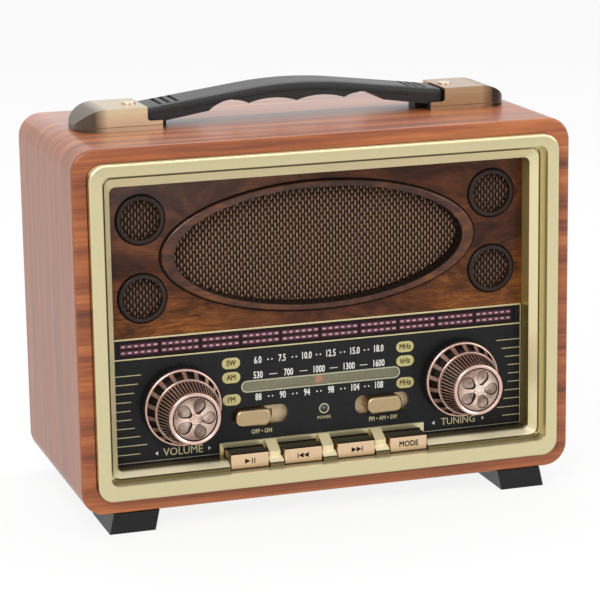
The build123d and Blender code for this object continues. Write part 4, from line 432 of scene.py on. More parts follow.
def key_painted_top():
    """Champagne plating on the front and sides of a key, with a dark painted reflection on its upper face.
    """
    look = Look("key_champagne", (0.60, 0.44, 0.30), 0.32, 1.0)
    # Painted reflection: the upper faces are dark and not metallic
    upper = look.above(look.facing()[2], 0.6)
    fine = look.noise(look.scaled(500, 500, 500), detail=3)
    plate = look.ramp(fine, (0.3, (0.72, 0.525, 0.335)), (0.7, (0.77, 0.56, 0.355)))
    dark = look.ramp(fine, (0.3, (0.010, 0.007, 0.005)), (0.7, (0.014, 0.010, 0.007)))
    look.color(look.mix(upper, plate, dark))
    look.link("Metallic", look.math("SUBTRACT", 1.0, upper))
    look.roughness(look.spread(fine, 0.28, 0.36))
    look.set("Specular IOR Level", 0.03)
    return look


def brass_with_painted_shade():
    """Brushed brass brackets with painted shade at the right and at the toes, a greyer painted reflection
    on top, and a line at the foot.
    """
    look = Look("brass_brushed", (0.74, 0.58, 0.38), 0.3, 1.0)
    x, _, z = look.axes()
    lines = look.noise(look.scaled(60, 900, 900), detail=4, rough=0.65)
    # Painted shade: the brass is darker towards the right
    right = look.rise(x, -0.07, 7.0)
    base = look.mix(right, (0.84, 0.70, 0.48), (0.52, 0.355, 0.21))
    shade = look.mix(right, (0.76, 0.62, 0.41), (0.44, 0.29, 0.17))
    plate = look.mix(look.spread(lines, -0.4, 1.4), shade, base)
    # Painted reflection: level faces are greyer
    level = look.rise(look.facing()[2], 0.8, 4.0)
    plate = look.mix(look.math("MULTIPLY", level, 0.8), plate, (0.46, 0.385, 0.30))
    # Painted shade on the toes, darker at the right
    toe = look.rise(look.math("ABSOLUTE", x), TOE_START, 150)
    painted_toe_shade = look.mix(right, (0.115, 0.082, 0.060), (0.045, 0.025, 0.017))
    with_painted_toes = look.mix(toe, plate, painted_toe_shade)
    foot = look.near(z, FOOT_LINE, FOOT_LINE_HALF)
    look.color(look.mix(look.math("MULTIPLY", foot, 0.6), with_painted_toes, (0.16, 0.11, 0.07)))
    look.roughness(look.spread(lines, 0.24, 0.38))
    look.bump(lines, 0.04)
    return look


def knob_copper(name, centre_x, centre_z):
    """Rose copper with black windows and rib grooves, and painted shade on the flanks of its rings."""
    look = Look(name, (0.78, 0.52, 0.45), 0.24, 1.0)
    x, y, z = look.axes()
    across = look.math("SUBTRACT", x, centre_x)
    up = look.math("SUBTRACT", z, centre_z)
    ahead = look.math("SUBTRACT", PANEL, y)

    def repeated(count, half_angle, span):
        """1 on even strips round the knob, over a span ahead of the panel."""
        strip = look.below(look.turns(across, up, count), math.radians(half_angle))
        return look.product(strip, look.between(ahead, *(limit * MM for limit in span)))

    # Whatever lies below the turned surface of the cone is black
    start, end = (limit * MM for limit in CONE_SPAN)
    start_radius, end_radius = (radius * MM for radius in CONE_RADII)
    slope = (end_radius - start_radius) / (end - start)
    drop = look.math("MULTIPLY", look.math("SUBTRACT", ahead, start), slope)
    depth = look.math("ADD", drop, start_radius - CONE_MARGIN * MM)
    sunk = look.product(look.below(look.distance(across, up), depth), look.between(ahead, start, end))
    windows = repeated(KNOB_WINDOWS, 6.6, WINDOW_SPAN)
    ribs = repeated(KNOB_RIBS, 2.0, RIB_SPAN)
    dark = look.math("MAXIMUM", look.math("MAXIMUM", windows, sunk), ribs)

    fine = look.noise(look.scaled(700, 700, 700), detail=3)
    copper = look.ramp(fine, (0.3, (0.61, 0.405, 0.345)), (0.7, (0.75, 0.51, 0.44)))
    # Painted shade on the flanks of the rings
    flank = 0.0
    for start, end in FLANK_SPANS:
        one_flank = look.near(ahead, (start + end) / 2 * MM, (end - start) / 2 * MM)
        flank = look.math("ADD", flank, one_flank, clamp=True)
    copper = look.mix(look.math("MULTIPLY", flank, 0.8), copper, (0.16, 0.10, 0.085))
    look.color(look.mix(dark, copper, (0.010, 0.005, 0.004)))
    look.link("Metallic", look.spread(dark, 0.82, 0.0))
    look.roughness(look.spread(fine, 0.18, 0.3))
    return look


def cap_copper(name, node):
    """Polished cap: a copper wheel clouded with painted reflection, and painted shade on its sunk openings,
    towards its rim, as dark outlines round its openings and as a black ring at its edge.
    """
    look = Look(name, (0.80, 0.58, 0.50), 0.14, 1.0)
    low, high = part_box(node)
    middle = (low + high) / 2
    x, y, z = look.axes()
    across = look.math("SUBTRACT", x, middle.x)
    up = look.math("SUBTRACT", z, middle.z)
    radius = look.distance(across, up)
    # Painted reflection: the copper is clouded from dark brown to near white
    fine = look.noise(look.scaled(110, 110, 110), detail=3)
    copper = look.ramp(
        fine,
        (0.34, (0.40, 0.28, 0.22)),
        (0.46, (0.85, 0.62, 0.50)),
        (0.60, (1.0, 0.82, 0.70)),
    )
    # Painted shade: the sunk floor of the openings is darker
    floor = look.ramp(
        fine,
        (0.34, (0.10, 0.07, 0.06)),
        (0.46, (0.34, 0.24, 0.20)),
        (0.60, (0.72, 0.57, 0.49)),
    )
    wheel = look.mix(look.above(y, high.y - CAP_FLOOR * MM), copper, floor)
    # Painted shade, darker from the hub towards the rim
    outer = look.rise(radius, CAP_HUB * MM, 150)
    wheel = look.mix(look.math("MULTIPLY", outer, 0.75), wheel, (0.215, 0.135, 0.10))
    # Painted shade as dark outlines round the openings
    turn = look.turns(across, up, CAP_SPOKES)
    along = look.math("MULTIPLY", radius, look.math("COSINE", turn))
    aside = look.math("MULTIPLY", radius, look.math("SINE", turn))
    gap = None
    for centre, bend in CAP_CIRCLES:
        ahead = look.math("SUBTRACT", along, centre * MM)
        away = look.math("SUBTRACT", look.distance(ahead, aside), bend * MM)
        gap = away if gap is None else look.math("MINIMUM", gap, away)
    outline = look.below(look.math("ABSOLUTE", gap), CAP_OUTLINE_HALF * MM)
    wheel = look.mix(look.math("MULTIPLY", outline, 0.9), wheel, (0.03, 0.02, 0.017))
    # Painted shade as a black ring at the edge
    look.color(look.mix(look.above(radius, CAP_RIM * MM), wheel, (0.012, 0.008, 0.007)))
    look.roughness(look.spread(fine, 0.10, 0.2))
    return look


def woven(name, color):
    """Matt thread with small twisted fibres."""
    look = Look(name, color, 0.75)
    look.set("Specular IOR Level", 0.15)
    fibre = look.noise(look.scaled(2600, 2600, 900), detail=3)
    look.color(look.ramp(fibre, (0.3, tuple(c * 0.55 for c in color)), (0.7, color)))
    look.bump(fibre, 0.3)
    return look


def window_lens():
    """Frosted olive lens that lets the pointer show through."""
    look = Look("window_clear", (0.36, 0.35, 0.25), 0.22, coat=0.8)
    mist = look.noise(look.scaled(25, 25, 160), detail=2)
    look.color(look.ramp(mist, (0.3, (0.25, 0.225, 0.125)), (0.7, (0.335, 0.305, 0.175))))
    look.set("Alpha", 0.5)
    return look


def glow(name, color, strength):
    """Small lit marks: the dashes of the light strip, and the flag of the pointer, whose glow is painted
    light.
    """
    look = Look(name, color, 0.4)
    fine = look.noise(look.scaled(800, 800, 800), detail=2)
    look.color(look.ramp(fine, (0.3, tuple(c * 0.8 for c in color)), (0.7, color)))
    look.set("Emission Color", (*color, 1))
    look.set("Emission Strength", strength)
    return look


# Mouth of the oval trim, in metres: half width, half height and height of its middle; the trim's wall
# inside it gets painted shade
TRIM_LOW, TRIM_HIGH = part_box("oval_trim")
MOUTH_INSET = (0.0061, 0.0028)
TRIM_MOUTH = (
    TRIM_HIGH.x - MOUTH_INSET[0],
    (TRIM_HIGH.z - TRIM_LOW.z) / 2 - MOUTH_INSET[1],
    (TRIM_LOW.z + TRIM_HIGH.z) / 2,
)
LOOKS = {
    "wood": wood(),
    "rear": grained("rear_board", (0.018, 0.017, 0.017), 0.6, bump=0.2),
    "gold": gold_with_painted_light(),
    "burl": burl("burl"),
    "burl_trim": burl("burl_trim", 1.5, 0.5, TRIM_MOUTH),
    "ring": grained("ring_brown", (0.026, 0.015, 0.011), 0.22, coat=0.14, gloss=0.12),
    "dial": grained("dial_black", (0.013, 0.013, 0.0135), 0.3, grain=(300, 300, 300), gloss=0.14),
    "strip": grained("strip_smoke", (0.012, 0.004, 0.005), 0.3, grain=(200, 200, 900), gloss=0.14),
    "lens": window_lens(),
    "led": grained("led_lens", (0.045, 0.042, 0.036), 0.2, coat=0.5),
    "rivet": grained("rivet_brass", (0.70, 0.53, 0.41), 0.24, 1.0, amount=0.02),
    "print_pale": grained("print_pale", (0.42, 0.40, 0.29), 0.4, 0.2),
    "red": grained("pointer_red", (0.85, 0.10, 0.07), 0.35),
    "flag": glow("pointer_flag_red", (0.80, 0.10, 0.07), 0.75),
    "board": grained("circuit_board", (0.02, 0.11, 0.05), 0.4, grain=(400, 400, 400)),
    "black": grained("black_plastic", (0.009, 0.009, 0.0095), 0.34, bump=0.06, gloss=0.3),
    "soft": grained(
        "soft_black", (0.014, 0.014, 0.0145), 0.38, grain=(1600, 1600, 1600), bump=0.06, gloss=0.4
    ),
    "foot": grained(
        "foot_black", (0.009, 0.009, 0.0095), 0.36, grain=(1500, 1500, 1500), bump=0.06, gloss=0.25
    ),
    "champagne": grained(
        "champagne", (0.46, 0.335, 0.195), 0.34, 1.0, grain=(500, 500, 500), amount=0.02, bump=0.01
    ),
    "well": grained("switch_well", (0.56, 0.43, 0.26), 0.4, 0.5),
    "brass": brass_with_painted_shade(),
    "key": key_painted_top(),
    "chrome": brushed("chrome", (0.80, 0.80, 0.79), 0.12, (60, 1200, 1200)),
    "steel": brushed("steel", (0.45, 0.45, 0.46), 0.35, (900, 900, 300)),
    "cone": grained("paper_cone", (0.012, 0.011, 0.011), 0.85, bump=0.3),
    "ferrite": grained("ferrite", (0.03, 0.03, 0.032), 0.6),
    "wire": brushed("coil_wire", (0.55, 0.24, 0.10), 0.35, (3500, 200, 200)),
    "cell": grained("cell_wrap", (0.06, 0.13, 0.32), 0.35),
    "cord": grained("dial_cord", (0.42, 0.38, 0.30), 0.8),
    # Upright threads are paler than level ones, partly a painted highlight; dimmer on the small grilles
    "warp": woven("cloth_warp", (0.30, 0.180, 0.115)),
    "weft": woven("cloth_weft", (0.036, 0.016, 0.011)),
    "warp_dim": woven("grille_warp", (0.20, 0.120, 0.080)),
    "print_gold": grained("print_gold", (0.56, 0.49, 0.27), 0.35, 0.3),
    "print_white": grained("print_white", (0.72, 0.71, 0.66), 0.5),
    "print_dark": grained("print_dark", (0.008, 0.006, 0.005), 0.5, gloss=0.1),
    "pill": grained("print_pill", (0.475, 0.42, 0.175), 0.4),
    "pill_text": grained("pill_text", (0.085, 0.055, 0.012), 0.5, gloss=0.2),
    "groove": grained("groove_dark", (0.006, 0.004, 0.004), 0.5, gloss=0.05),
    "dash": glow("dash_pink", (0.51, 0.27, 0.34), 0.13),
    "dash_edge": glow("dash_purple", (0.056, 0.006, 0.019), 0.02),
    "back": grained("cloth_back", (0.006, 0.004, 0.004), 0.9),
    "mark_dark": grained("mark_dark", (0.05, 0.03, 0.025), 0.3, 1.0),
}

KNOBS = {"volume": -KNOB_X, "tuning": KNOB_X}
for control, x in KNOBS.items():
    LOOKS[control + "_knob"] = knob_copper(control + "_copper", x * MM, BASE + KNOB_HEIGHT * MM)
    LOOKS[control + "_cap"] = cap_copper(control + "_cap_copper", control + "_knob_cap")

NODE_LOOKS = {
    "wood": ["cabinet_shell"],
    "rear": ["rear_panel"],
    "gold": ["front_bezel"],
    "burl": ["speaker_baffle"],
    "burl_trim": ["oval_trim"],
    "ring": ["grille_rings"],
    "dial": ["dial_panel"],
    "strip": ["light_strip"],
    "lens": ["dial_window"],
    "led": ["power_led"],
    "red": ["dial_pointer"],
    "board": ["main_board", "key_board"],
    "black": [
        "key_switches", "tuning_capacitor", "battery_tray", "ferrite_holders", "aerial_base",
        "aerial_knuckle", "handle_bases", "volume_knob_skirt", "tuning_knob_skirt", "tuning_drum",
        "idler_pulley",
    ],
    "soft": ["handle_grip"],
    "foot": ["feet"],
    "champagne": ["power_slider", "band_slider"],
    "key": ["play_key", "previous_key", "next_key", "mode_key"],
    "well": ["slide_switches"],
    "brass": ["handle_bracket_left", "handle_bracket_right"],
    "chrome": ["aerial_section_1", "aerial_section_2", "aerial_section_3"],
    "rivet": ["handle_rivets"],
    "steel": [
        "case_screws", "volume_pot", "pointer_rail", "speaker_frame", "speaker_screws", "rear_sockets",
        "volume_shaft", "tuning_shaft",
    ],
    "cone": ["speaker_cone"],
    "ferrite": ["speaker_magnet", "ferrite_rod"],
    "wire": ["ferrite_coil"],
    "cell": ["battery_cells"],
    "cord": ["dial_cord"],
    "warp": ["speaker_cloth", "grille_meshes"],
    "volume_knob": ["volume_knob"],
    "volume_cap": ["volume_knob_cap"],
    "tuning_knob": ["tuning_knob"],
    "tuning_cap": ["tuning_knob_cap"],
}
for look_name, members in NODE_LOOKS.items():
    for member in members:
        slots = NODES[member].data.materials
        for index in range(max(1, len(slots))):
            if index < len(slots):
                slots[index] = LOOKS[look_name].mat
            else:
                slots.append(LOOKS[look_name].mat)


def add_piece(name, verts, faces, looks, body="radio", face_looks=None, smooth=False):
    """A mesh of its own that rides on a body of the part."""
    mesh = bpy.data.meshes.new(name)
    mesh.from_pydata([tuple(v) for v in verts], [], faces)
    for look_name in looks:
        mesh.materials.append(LOOKS[look_name].mat)
    if face_looks:
        mesh.polygons.foreach_set("material_index", face_looks)
    if smooth:
        mesh.polygons.foreach_set("use_smooth", [True] * len(mesh.polygons))
    mesh.update()
    made = bpy.data.objects.new(name, mesh)
    bpy.context.scene.collection.objects.link(made)
    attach(made, body)
    return made


class Print:
    """Flat marks in one thin raised mesh that faces the front: y in metres, all else in millimetres."""

    def __init__(self, y, rise=0.08):
        self.y = y
        self.rise = rise
        self.verts = []
        self.faces = []

    def outline(self, points):
        """A filled outline, turned to run anticlockwise as seen from the front."""
        first, count = len(self.verts), len(points)
        pairs = zip(points, points[1:] + points[:1])
        if sum(a[0] * b[1] - b[0] * a[1] for a, b in pairs) < 0:
            points = points[::-1]
        for y in (self.y, self.y - self.rise * MM):
            self.verts += [place(x, h, y) for x, h in points]
        self.faces.append([first + count + i for i in range(count)])
        for i in range(count):
            j = (i + 1) % count
            self.faces.append([first + i, first + j, first + count + j, first + count + i])

    def bar(self, x0, x1, h0, h1):
        self.outline([(x0, h0), (x1, h0), (x1, h1), (x0, h1)])

    def line(self, x0, x1, h, half):
        """A level bar about a height."""
        self.bar(x0, x1, h - half, h + half)

    def dot(self, x, h, radius):
        self.outline(circle(x, h, radius, 10))

    def arrow(self, back, tip, h, half):
        """A triangle with an upright back and a tip at its height."""
        self.outline([(back, h - half), (tip, h), (back, h + half)])

    def band(self, outer, inner):
        """The space between two outlines of equal count."""
        first, count = len(self.verts), len(outer)
        low, high = self.y, self.y - self.rise * MM
        for points, y in ((outer, low), (outer, high), (inner, high), (inner, low)):
            self.verts += [place(x, h, y) for x, h in points]
        for row in range(3):
            for i in range(count):
                j = (i + 1) % count
                a, b = first + row * count, first + (row + 1) * count
                self.faces.append([a + i, a + j, b + j, b + i])

    def text(self, words, x, h, size, squeeze, bold=0.0):
        """Lettering from the built-in font, centred on a point; bold lays four shifted copies together."""
        curve = bpy.data.curves.new("lettering", "FONT")
        curve.body = words
        curve.align_x = "CENTER"
        curve.align_y = "CENTER"
        curve.size = size
        curve.resolution_u = 2
        holder = bpy.data.objects.new("lettering", curve)
        bpy.context.scene.collection.objects.link(holder)
        bpy.context.view_layer.update()
        mesh = bpy.data.meshes.new_from_object(holder.evaluated_get(bpy.context.evaluated_depsgraph_get()))
        shifts = ((-bold, -bold), (-bold, bold), (bold, -bold), (bold, bold)) if bold else ((0.0, 0.0),)
        copy_rise = 0.004
        for step, (right, up) in enumerate(shifts):
            first = len(self.verts)
            top = self.y - (self.rise + copy_rise * step) * MM
            self.verts += [place(x + right + v.co.x * squeeze, h + up + v.co.y, top) for v in mesh.vertices]
            self.faces += [[first + i for i in p.vertices] for p in mesh.polygons]
        bpy.data.objects.remove(holder)
        bpy.data.meshes.remove(mesh)
        bpy.data.curves.remove(curve)

    def piece(self, name, look_name, body="radio"):
        return add_piece(name, self.verts, self.faces, [look_name], body)


def stadium(x, h, half_length, radius, count=12):
    """Outline of a long slot."""
    points = []
    for side, start in ((1, -90), (-1, 90)):
        end_x = x + side * (half_length - radius)
        for i in range(count + 1):
            turn = math.radians(start + 180 * i / count)
            points.append((end_x + radius * math.cos(turn), h + radius * math.sin(turn)))
    return points


def oval(x, h, half_width, half_height, count=96):
    turns = [2 * math.pi * i / count for i in range(count)]
    return [(x + half_width * math.cos(t), h + half_height * math.sin(t)) for t in turns]


def circle(x, h, radius, count=48):
    return oval(x, h, radius, radius, count)


# Woven cloth, in millimetres: tan upright threads, their pale tone partly a painted highlight on their
# crests, over and under dark level threads
WARP = {"pitch": 1.58, "wave": 0.5, "flat": 0.5, "thick": 0.3, "fineness": 3.4}
WEFT = {"pitch": 2.0, "wave": -0.4, "flat": 0.62, "thick": 0.24, "fineness": 2.6}
THREAD_SIDES = 6


def weave(name, centres, half_width, half_height, y, node, warp):
    """Two sets of waving threads inside an oval at each centre."""
    verts, faces, marks = [], [], []
    turns = [math.radians(360 / THREAD_SIDES * k) for k in range(THREAD_SIDES)]

    def thread(points, kind, upright, mark):
        """A thread along its points of across, up and rise; flat is its half width across the sheet."""
        first = len(verts)
        for x, h, rise in points:
            for turn in turns:
                wide = kind["flat"] * math.cos(turn)
                dx, dh = (wide, 0) if upright else (0, wide)
                verts.append(place(x + dx, h + dh, y - (rise + kind["thick"] * math.sin(turn)) * MM))
        for i in range(len(points) - 1):
            for k in range(THREAD_SIDES):
                a = first + THREAD_SIDES * i + k
                b = first + THREAD_SIDES * i + (k + 1) % THREAD_SIDES
                faces.append([a, b, b + THREAD_SIDES, a + THREAD_SIDES])
                marks.append(mark)

    def lay(centre, kind, crossing, half, half_run, upright, mark):
        """One set of threads side by side, each as long as the oval is where it lies."""
        count = int(half / kind["pitch"])
        for i in range(-count, count + 1):
            offset = i * kind["pitch"]
            reach = half_run * math.sqrt(max(0.0, 1 - (offset / half) ** 2))
            if reach <= crossing["pitch"]:
                continue
            steps = max(2, int(2 * reach / crossing["pitch"] * kind["fineness"]))
            points = []
            for k in range(steps + 1):
                run = -reach + 2 * reach * k / steps
                rise = kind["wave"] * math.cos(math.pi * (run / crossing["pitch"] + i))
                dx, dh = (offset, run) if upright else (run, offset)
                points.append((centre[0] + dx, centre[1] + dh, rise))
            thread(points, kind, upright, mark)

    for centre in centres:
        lay(centre, WARP, WEFT, half_width, half_height, True, 0)
        lay(centre, WEFT, WARP, half_height, half_width, False, 1)
    made = add_piece(name, verts, faces, [warp, "weft"], "radio", marks, smooth=True)
    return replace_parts(made, node)


# Speaker cloth and the cloth of the four small grilles
CLOTH_MARGIN = 0.2
CLOTH_SINK = 0.0007
CLOTH_LOW, CLOTH_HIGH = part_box("speaker_cloth")
CLOTH_HEIGHT = ((CLOTH_LOW.z + CLOTH_HIGH.z) / 2 - BASE) / MM
CLOTH_HALF = (CLOTH_HIGH.x / MM - CLOTH_MARGIN, (CLOTH_HIGH.z - CLOTH_LOW.z) / 2 / MM - CLOTH_MARGIN)
weave("cloth_weave", [(0, CLOTH_HEIGHT)], *CLOTH_HALF, CLOTH_LOW.y + CLOTH_SINK, "speaker_cloth", "warp")

GRILLE_DISC = 10.7
GRILLE_CLOTH = 10.5
GRILLE_GROOVE = (12.5, 11.7)
MESH_LOW, MESH_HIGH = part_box("grille_meshes")
GRILLE_X = MESH_HIGH.x / MM - GRILLE_DISC
GRILLE_HEIGHTS = ((MESH_LOW.z - BASE) / MM + GRILLE_DISC, (MESH_HIGH.z - BASE) / MM - GRILLE_DISC)
GRILLES = [(side * GRILLE_X, h) for side in (-1, 1) for h in GRILLE_HEIGHTS]
GRILLE_HALF = (GRILLE_CLOTH, GRILLE_CLOTH)
weave("grille_weave", GRILLES, *GRILLE_HALF, MESH_LOW.y + CLOTH_SINK, "grille_meshes", "warp_dim")

# Painted shade: a dark sheet behind the cloth
painted_shade_sheet = Print(CLOTH_HIGH.y + 0.5 * MM, 0.2)
painted_shade_sheet.outline(oval(0, CLOTH_HEIGHT, *CLOTH_HALF))
for x, h in GRILLES:
    painted_shade_sheet.outline(circle(x, h, GRILLE_CLOTH))
painted_shade_sheet.piece("cloth_shade_sheet", "back")

# Painted shade: dark grooves round the oval trim and the small rings
TRIM_GROOVE = 0.9
TRIM_HALF = (TRIM_HIGH.x / MM, (TRIM_HIGH.z - TRIM_LOW.z) / 2 / MM)
grooves = Print(PANEL, 0.05)
trim_outer = oval(0, CLOTH_HEIGHT, TRIM_HALF[0] + TRIM_GROOVE, TRIM_HALF[1] + TRIM_GROOVE)
grooves.band(trim_outer, oval(0, CLOTH_HEIGHT, *TRIM_HALF))
for x, h in GRILLES:
    grooves.band(*(circle(x, h, radius) for radius in GRILLE_GROOVE))
grooves.piece("panel_groove_shade", "groove")

# Layout of the dial's print, in millimetres across from the middle and up from the cabinet's bottom
DIAL_EDGE = 105.5
STRIP_LINES = ((81.05, 81.85), (71.3, 71.95))
SIDE_LINE = (105.2, 105.6)
SIDE_LINE_TOP = 81.0
TICK_TOP = 63.6
TICK_STEP = 4.36
TICK_HALF = 0.19
TICK_RIGHT = 105.0
LEFT_ENDS = (-90.9, -92.6, -94.6, -96.2, -96.8, -96.4, -94.8, -92.3, -88.9, -92.5)
RIGHT_ENDS = (92.4, 95.4, 97.2, 98.8, 98.9, 98.8, 97.0, 96.4, 93.0, 95.8)
LABEL_HEIGHTS = {-1: 23.6, 1: 24.2}
LABEL_X = 71.5
LABEL_ARROWS = ((-1, 12.2), (1, 13.2))
ARROW_LENGTH = 1.3
ARROW_HALF = 1.0
LAMP_X = 1.2
LAMP_HEIGHT = 37.7
LAMP_RING = (2.6, 1.95)
SCALE_LEFT = -32.4
SCALE_LENGTH = 62.2
SHORT_WAVE = ("6.0", "7.5", "10.0", "12.5", "15.0", "18.0")
MEDIUM_WAVE = ("530", "700", "1000", "1300", "1600")
VERY_HIGH = ("88", "90", "94", "98", "104", "108")
SCALES = ((65.3, SHORT_WAVE, "dots"), (57.8, MEDIUM_WAVE, "dash"), (46.7, VERY_HIGH, "dots"))
DASH_HALF = (2.0, 0.15)
DOT_OFFSET = 1.0
DOT_RADIUS = 0.38
WINDOW_HEIGHT = 52.5
WINDOW_RING = ((41.1, 3.0), (40.4, 2.35))
SILL_ENDS = (105.2, 50.0)
SILL_HEIGHT = 20.1
SILL_HALF = 0.15

# Gold lines and words of the dial
gold = Print(PANEL)
for low, high in STRIP_LINES:
    gold.bar(-DIAL_EDGE, DIAL_EDGE, low, high)
gold.bar(*SIDE_LINE, SILL_HEIGHT, SIDE_LINE_TOP)
for i, (left, right) in enumerate(zip(LEFT_ENDS, RIGHT_ENDS)):
    h = TICK_TOP - TICK_STEP * i
    gold.line(-DIAL_EDGE, left, h, TICK_HALF)
    gold.line(right, TICK_RIGHT, h, TICK_HALF)
gold.text("VOLUME", -71.0, LABEL_HEIGHTS[-1], 5.5, 0.93, 0.02)
gold.text("TUNING", 72.0, LABEL_HEIGHTS[1], 5.2, 0.92, 0.02)
gold.text("OFF • ON", -31.0, 29.4, 3.1, 0.8, 0.05)
gold.text("FM • AM • SW", 32.0, 29.6, 3.1, 0.8, 0.05)
gold.text("POWER", LAMP_X, 33.1, 2.3, 0.9)
gold.piece("dial_print_gold", "print_gold")

# White numbers of the three scales, and arrows beside the knobs' names
white = Print(PANEL)
for h, numbers, joint in SCALES:
    step = SCALE_LENGTH / (len(numbers) - 1)
    for i, number in enumerate(numbers):
        x = SCALE_LEFT + step * i
        white.text(number, x, h, 4.9, 0.66, 0.06)
        if i == len(numbers) - 1:
            continue
        halfway = x + step / 2
        if joint == "dash":
            white.line(halfway - DASH_HALF[0], halfway + DASH_HALF[0], h, DASH_HALF[1])
        else:
            for offset in (-DOT_OFFSET, DOT_OFFSET):
                white.dot(halfway + offset, h, DOT_RADIUS)
for side, h in LABEL_HEIGHTS.items():
    for out, distance in LABEL_ARROWS:
        x = side * LABEL_X + out * distance
        white.arrow(x, x + out * ARROW_LENGTH, h, ARROW_HALF)
white.piece("dial_print_white", "print_white")

# Pale rings round the window and the lamp, and a line along the panel's foot
pale = Print(PANEL)
pale.band(*(stadium(0, WINDOW_HEIGHT, *half) for half in WINDOW_RING))
pale.band(*(circle(LAMP_X, LAMP_HEIGHT, radius, 32) for radius in LAMP_RING))
for side in (-1, 1):
    left, right = sorted(side * end for end in SILL_ENDS)
    pale.line(left, right, SILL_HEIGHT, SILL_HALF)
pale.piece("dial_print_pale", "print_pale")

# Red flag on the dial pointer, which glows as painted light
FLAG_HALF = (1.9, 2.3)
x, _, pointer_front = front_of("dial_pointer")
flag = Print(pointer_front, 0.05)
flag.line(x - FLAG_HALF[0], x + FLAG_HALF[0], WINDOW_HEIGHT, FLAG_HALF[1])
flag.piece("pointer_flag", "flag", "pointer")

# Yellow pills with the names of the bands and their units
PILL_RISE = 0.08
PILL_HALF = (4.6, 2.75)
PILL_PLACES = (-46.0, 43.8)
PILL_ROWS = ((65.0, "SW", "MHz"), (57.8, "AM", "kHz"), (46.6, "FM", "MHz"))
pills = Print(PANEL, PILL_RISE)
pill_words = Print(PANEL - PILL_RISE * MM, 0.04)
for h, *words in PILL_ROWS:
    for x, word in zip(PILL_PLACES, words):
        pills.outline(stadium(x, h, *PILL_HALF))
        pill_words.text(word, x, h, 3.8, 0.84, 0.1)
pills.piece("dial_pills", "pill")
pill_words.piece("dial_pill_words", "pill_text")

# Lit dashes of the light strip, each group with a purple surround
HAZE_RISE = 0.03
HAZE_ENDS = (-0.6, 18.2)
HAZE_HALF = 1.05
DASH_ROWS = (74.85, 78.0)
DASH_START = -100.2
GROUP_COUNT = 10
GROUP_PITCH = 20.25
GROUP_DASHES = 6
DASH_PITCH = 3.2
DASH_LENGTH = 1.75
DASH_THICK_HALF = 0.42
strip_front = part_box("light_strip")[0].y
dashes = Print(strip_front - HAZE_RISE * MM, 0.06)
haze = Print(strip_front, HAZE_RISE)
for group in range(GROUP_COUNT):
    start = DASH_START + group * GROUP_PITCH
    for row in DASH_ROWS:
        haze.line(start + HAZE_ENDS[0], start + HAZE_ENDS[1], row, HAZE_HALF)
        for i in range(GROUP_DASHES):
            x = start + i * DASH_PITCH
            dashes.line(x, x + DASH_LENGTH, row, DASH_THICK_HALF)
haze.piece("strip_haze", "dash_edge")
dashes.piece("strip_dashes", "dash")

# Hub ring and five dots on each knob's wheel
HUB_SINK = 0.08
HUB_RING = (1.45, 1.15)
HUB_DOT_DISTANCE = 2.5
HUB_DOT_RADIUS = 0.34
for control in KNOBS:
    x, h, cap_front = front_of(control + "_knob_cap")
    hub = Print(cap_front + HUB_SINK * MM, 0.06)
    hub.band(*(circle(x, h, radius, 24) for radius in HUB_RING))
    for i in range(CAP_SPOKES):
        turn = math.radians(360 / CAP_SPOKES * (i + 0.5))
        dot_x = x + HUB_DOT_DISTANCE * math.cos(turn)
        dot_h = h + HUB_DOT_DISTANCE * math.sin(turn)
        hub.dot(dot_x, dot_h, HUB_DOT_RADIUS)
    hub.piece(control + "_wheel_marks", "mark_dark", control + "_control")

# Signs on the keys
SIGN_HALF = 1.3
SIGN_LENGTH = 2.6
PLAY_TIP = 0.2
PLAY_BARS = ((0.9, 1.4), (2.1, 2.6))
SKIP_BAR = (2.7, 3.2)
KEYS = ("play", "previous", "next", "mode")
for key in KEYS:
    x, h, key_front = front_of(key + "_key")
    mark = Print(key_front, 0.05)
    if key == "play":
        mark.arrow(x - SIGN_LENGTH, x + PLAY_TIP, h, SIGN_HALF)
        for start, end in PLAY_BARS:
            mark.line(x + start, x + end, h, SIGN_HALF)
    elif key == "mode":
        mark.text("MODE", x, h, 4.0, 0.9, 0.09)
    else:
        way = 1 if key == "next" else -1
        for offset in (-SIGN_LENGTH, 0.0):
            mark.arrow(x + way * offset, x + way * (offset + SIGN_LENGTH), h, SIGN_HALF)
        start, end = sorted(x + way * edge for edge in SKIP_BAR)
        mark.line(start, end, h, SIGN_HALF)
    mark.piece(key + "_key_mark", "print_dark", key + "_button")

# Studio: floor in metres; lights as place, aim, size and watts; the camera that was fitted to the photo
FLOOR_HALF = 6
FLOOR_WHITE = 0.87
WORLD_STRENGTH = 0.5
SOFTBOXES = {
    "key_light": ((-0.9, -1.3, 1.3), (0, 0, 0.1), (1.1, 0.9), 22),
    "fill_light": ((1.2, -1.0, 0.7), (0, 0, 0.1), (0.8, 0.8), 6),
    "top_light": ((0.1, 0.5, 1.5), (0, 0, 0.15), (1.2, 0.8), 12),
}
CAMERA_PLACE = (-0.37479, -1.17882, 0.38628)
CAMERA_TURN = (17.79, 13.34, -0.87)
CAMERA_LENS = 151.34
CAMERA_SENSOR = 36


def background_rays(tree):
    """1 for the rays that meet a white background: the camera's, and those by gloss or through glass."""
    path = tree.nodes.new("ShaderNodeLightPath")
    clear = path.outputs["Is Camera Ray"]
    for kind in ("Is Glossy Ray", "Is Transmission Ray"):
        either = tree.nodes.new("ShaderNodeMath")
        either.operation = "MAXIMUM"
        tree.links.new(clear, either.inputs[0])
        tree.links.new(path.outputs[kind], either.inputs[1])
        clear = either.outputs[0]
    return clear


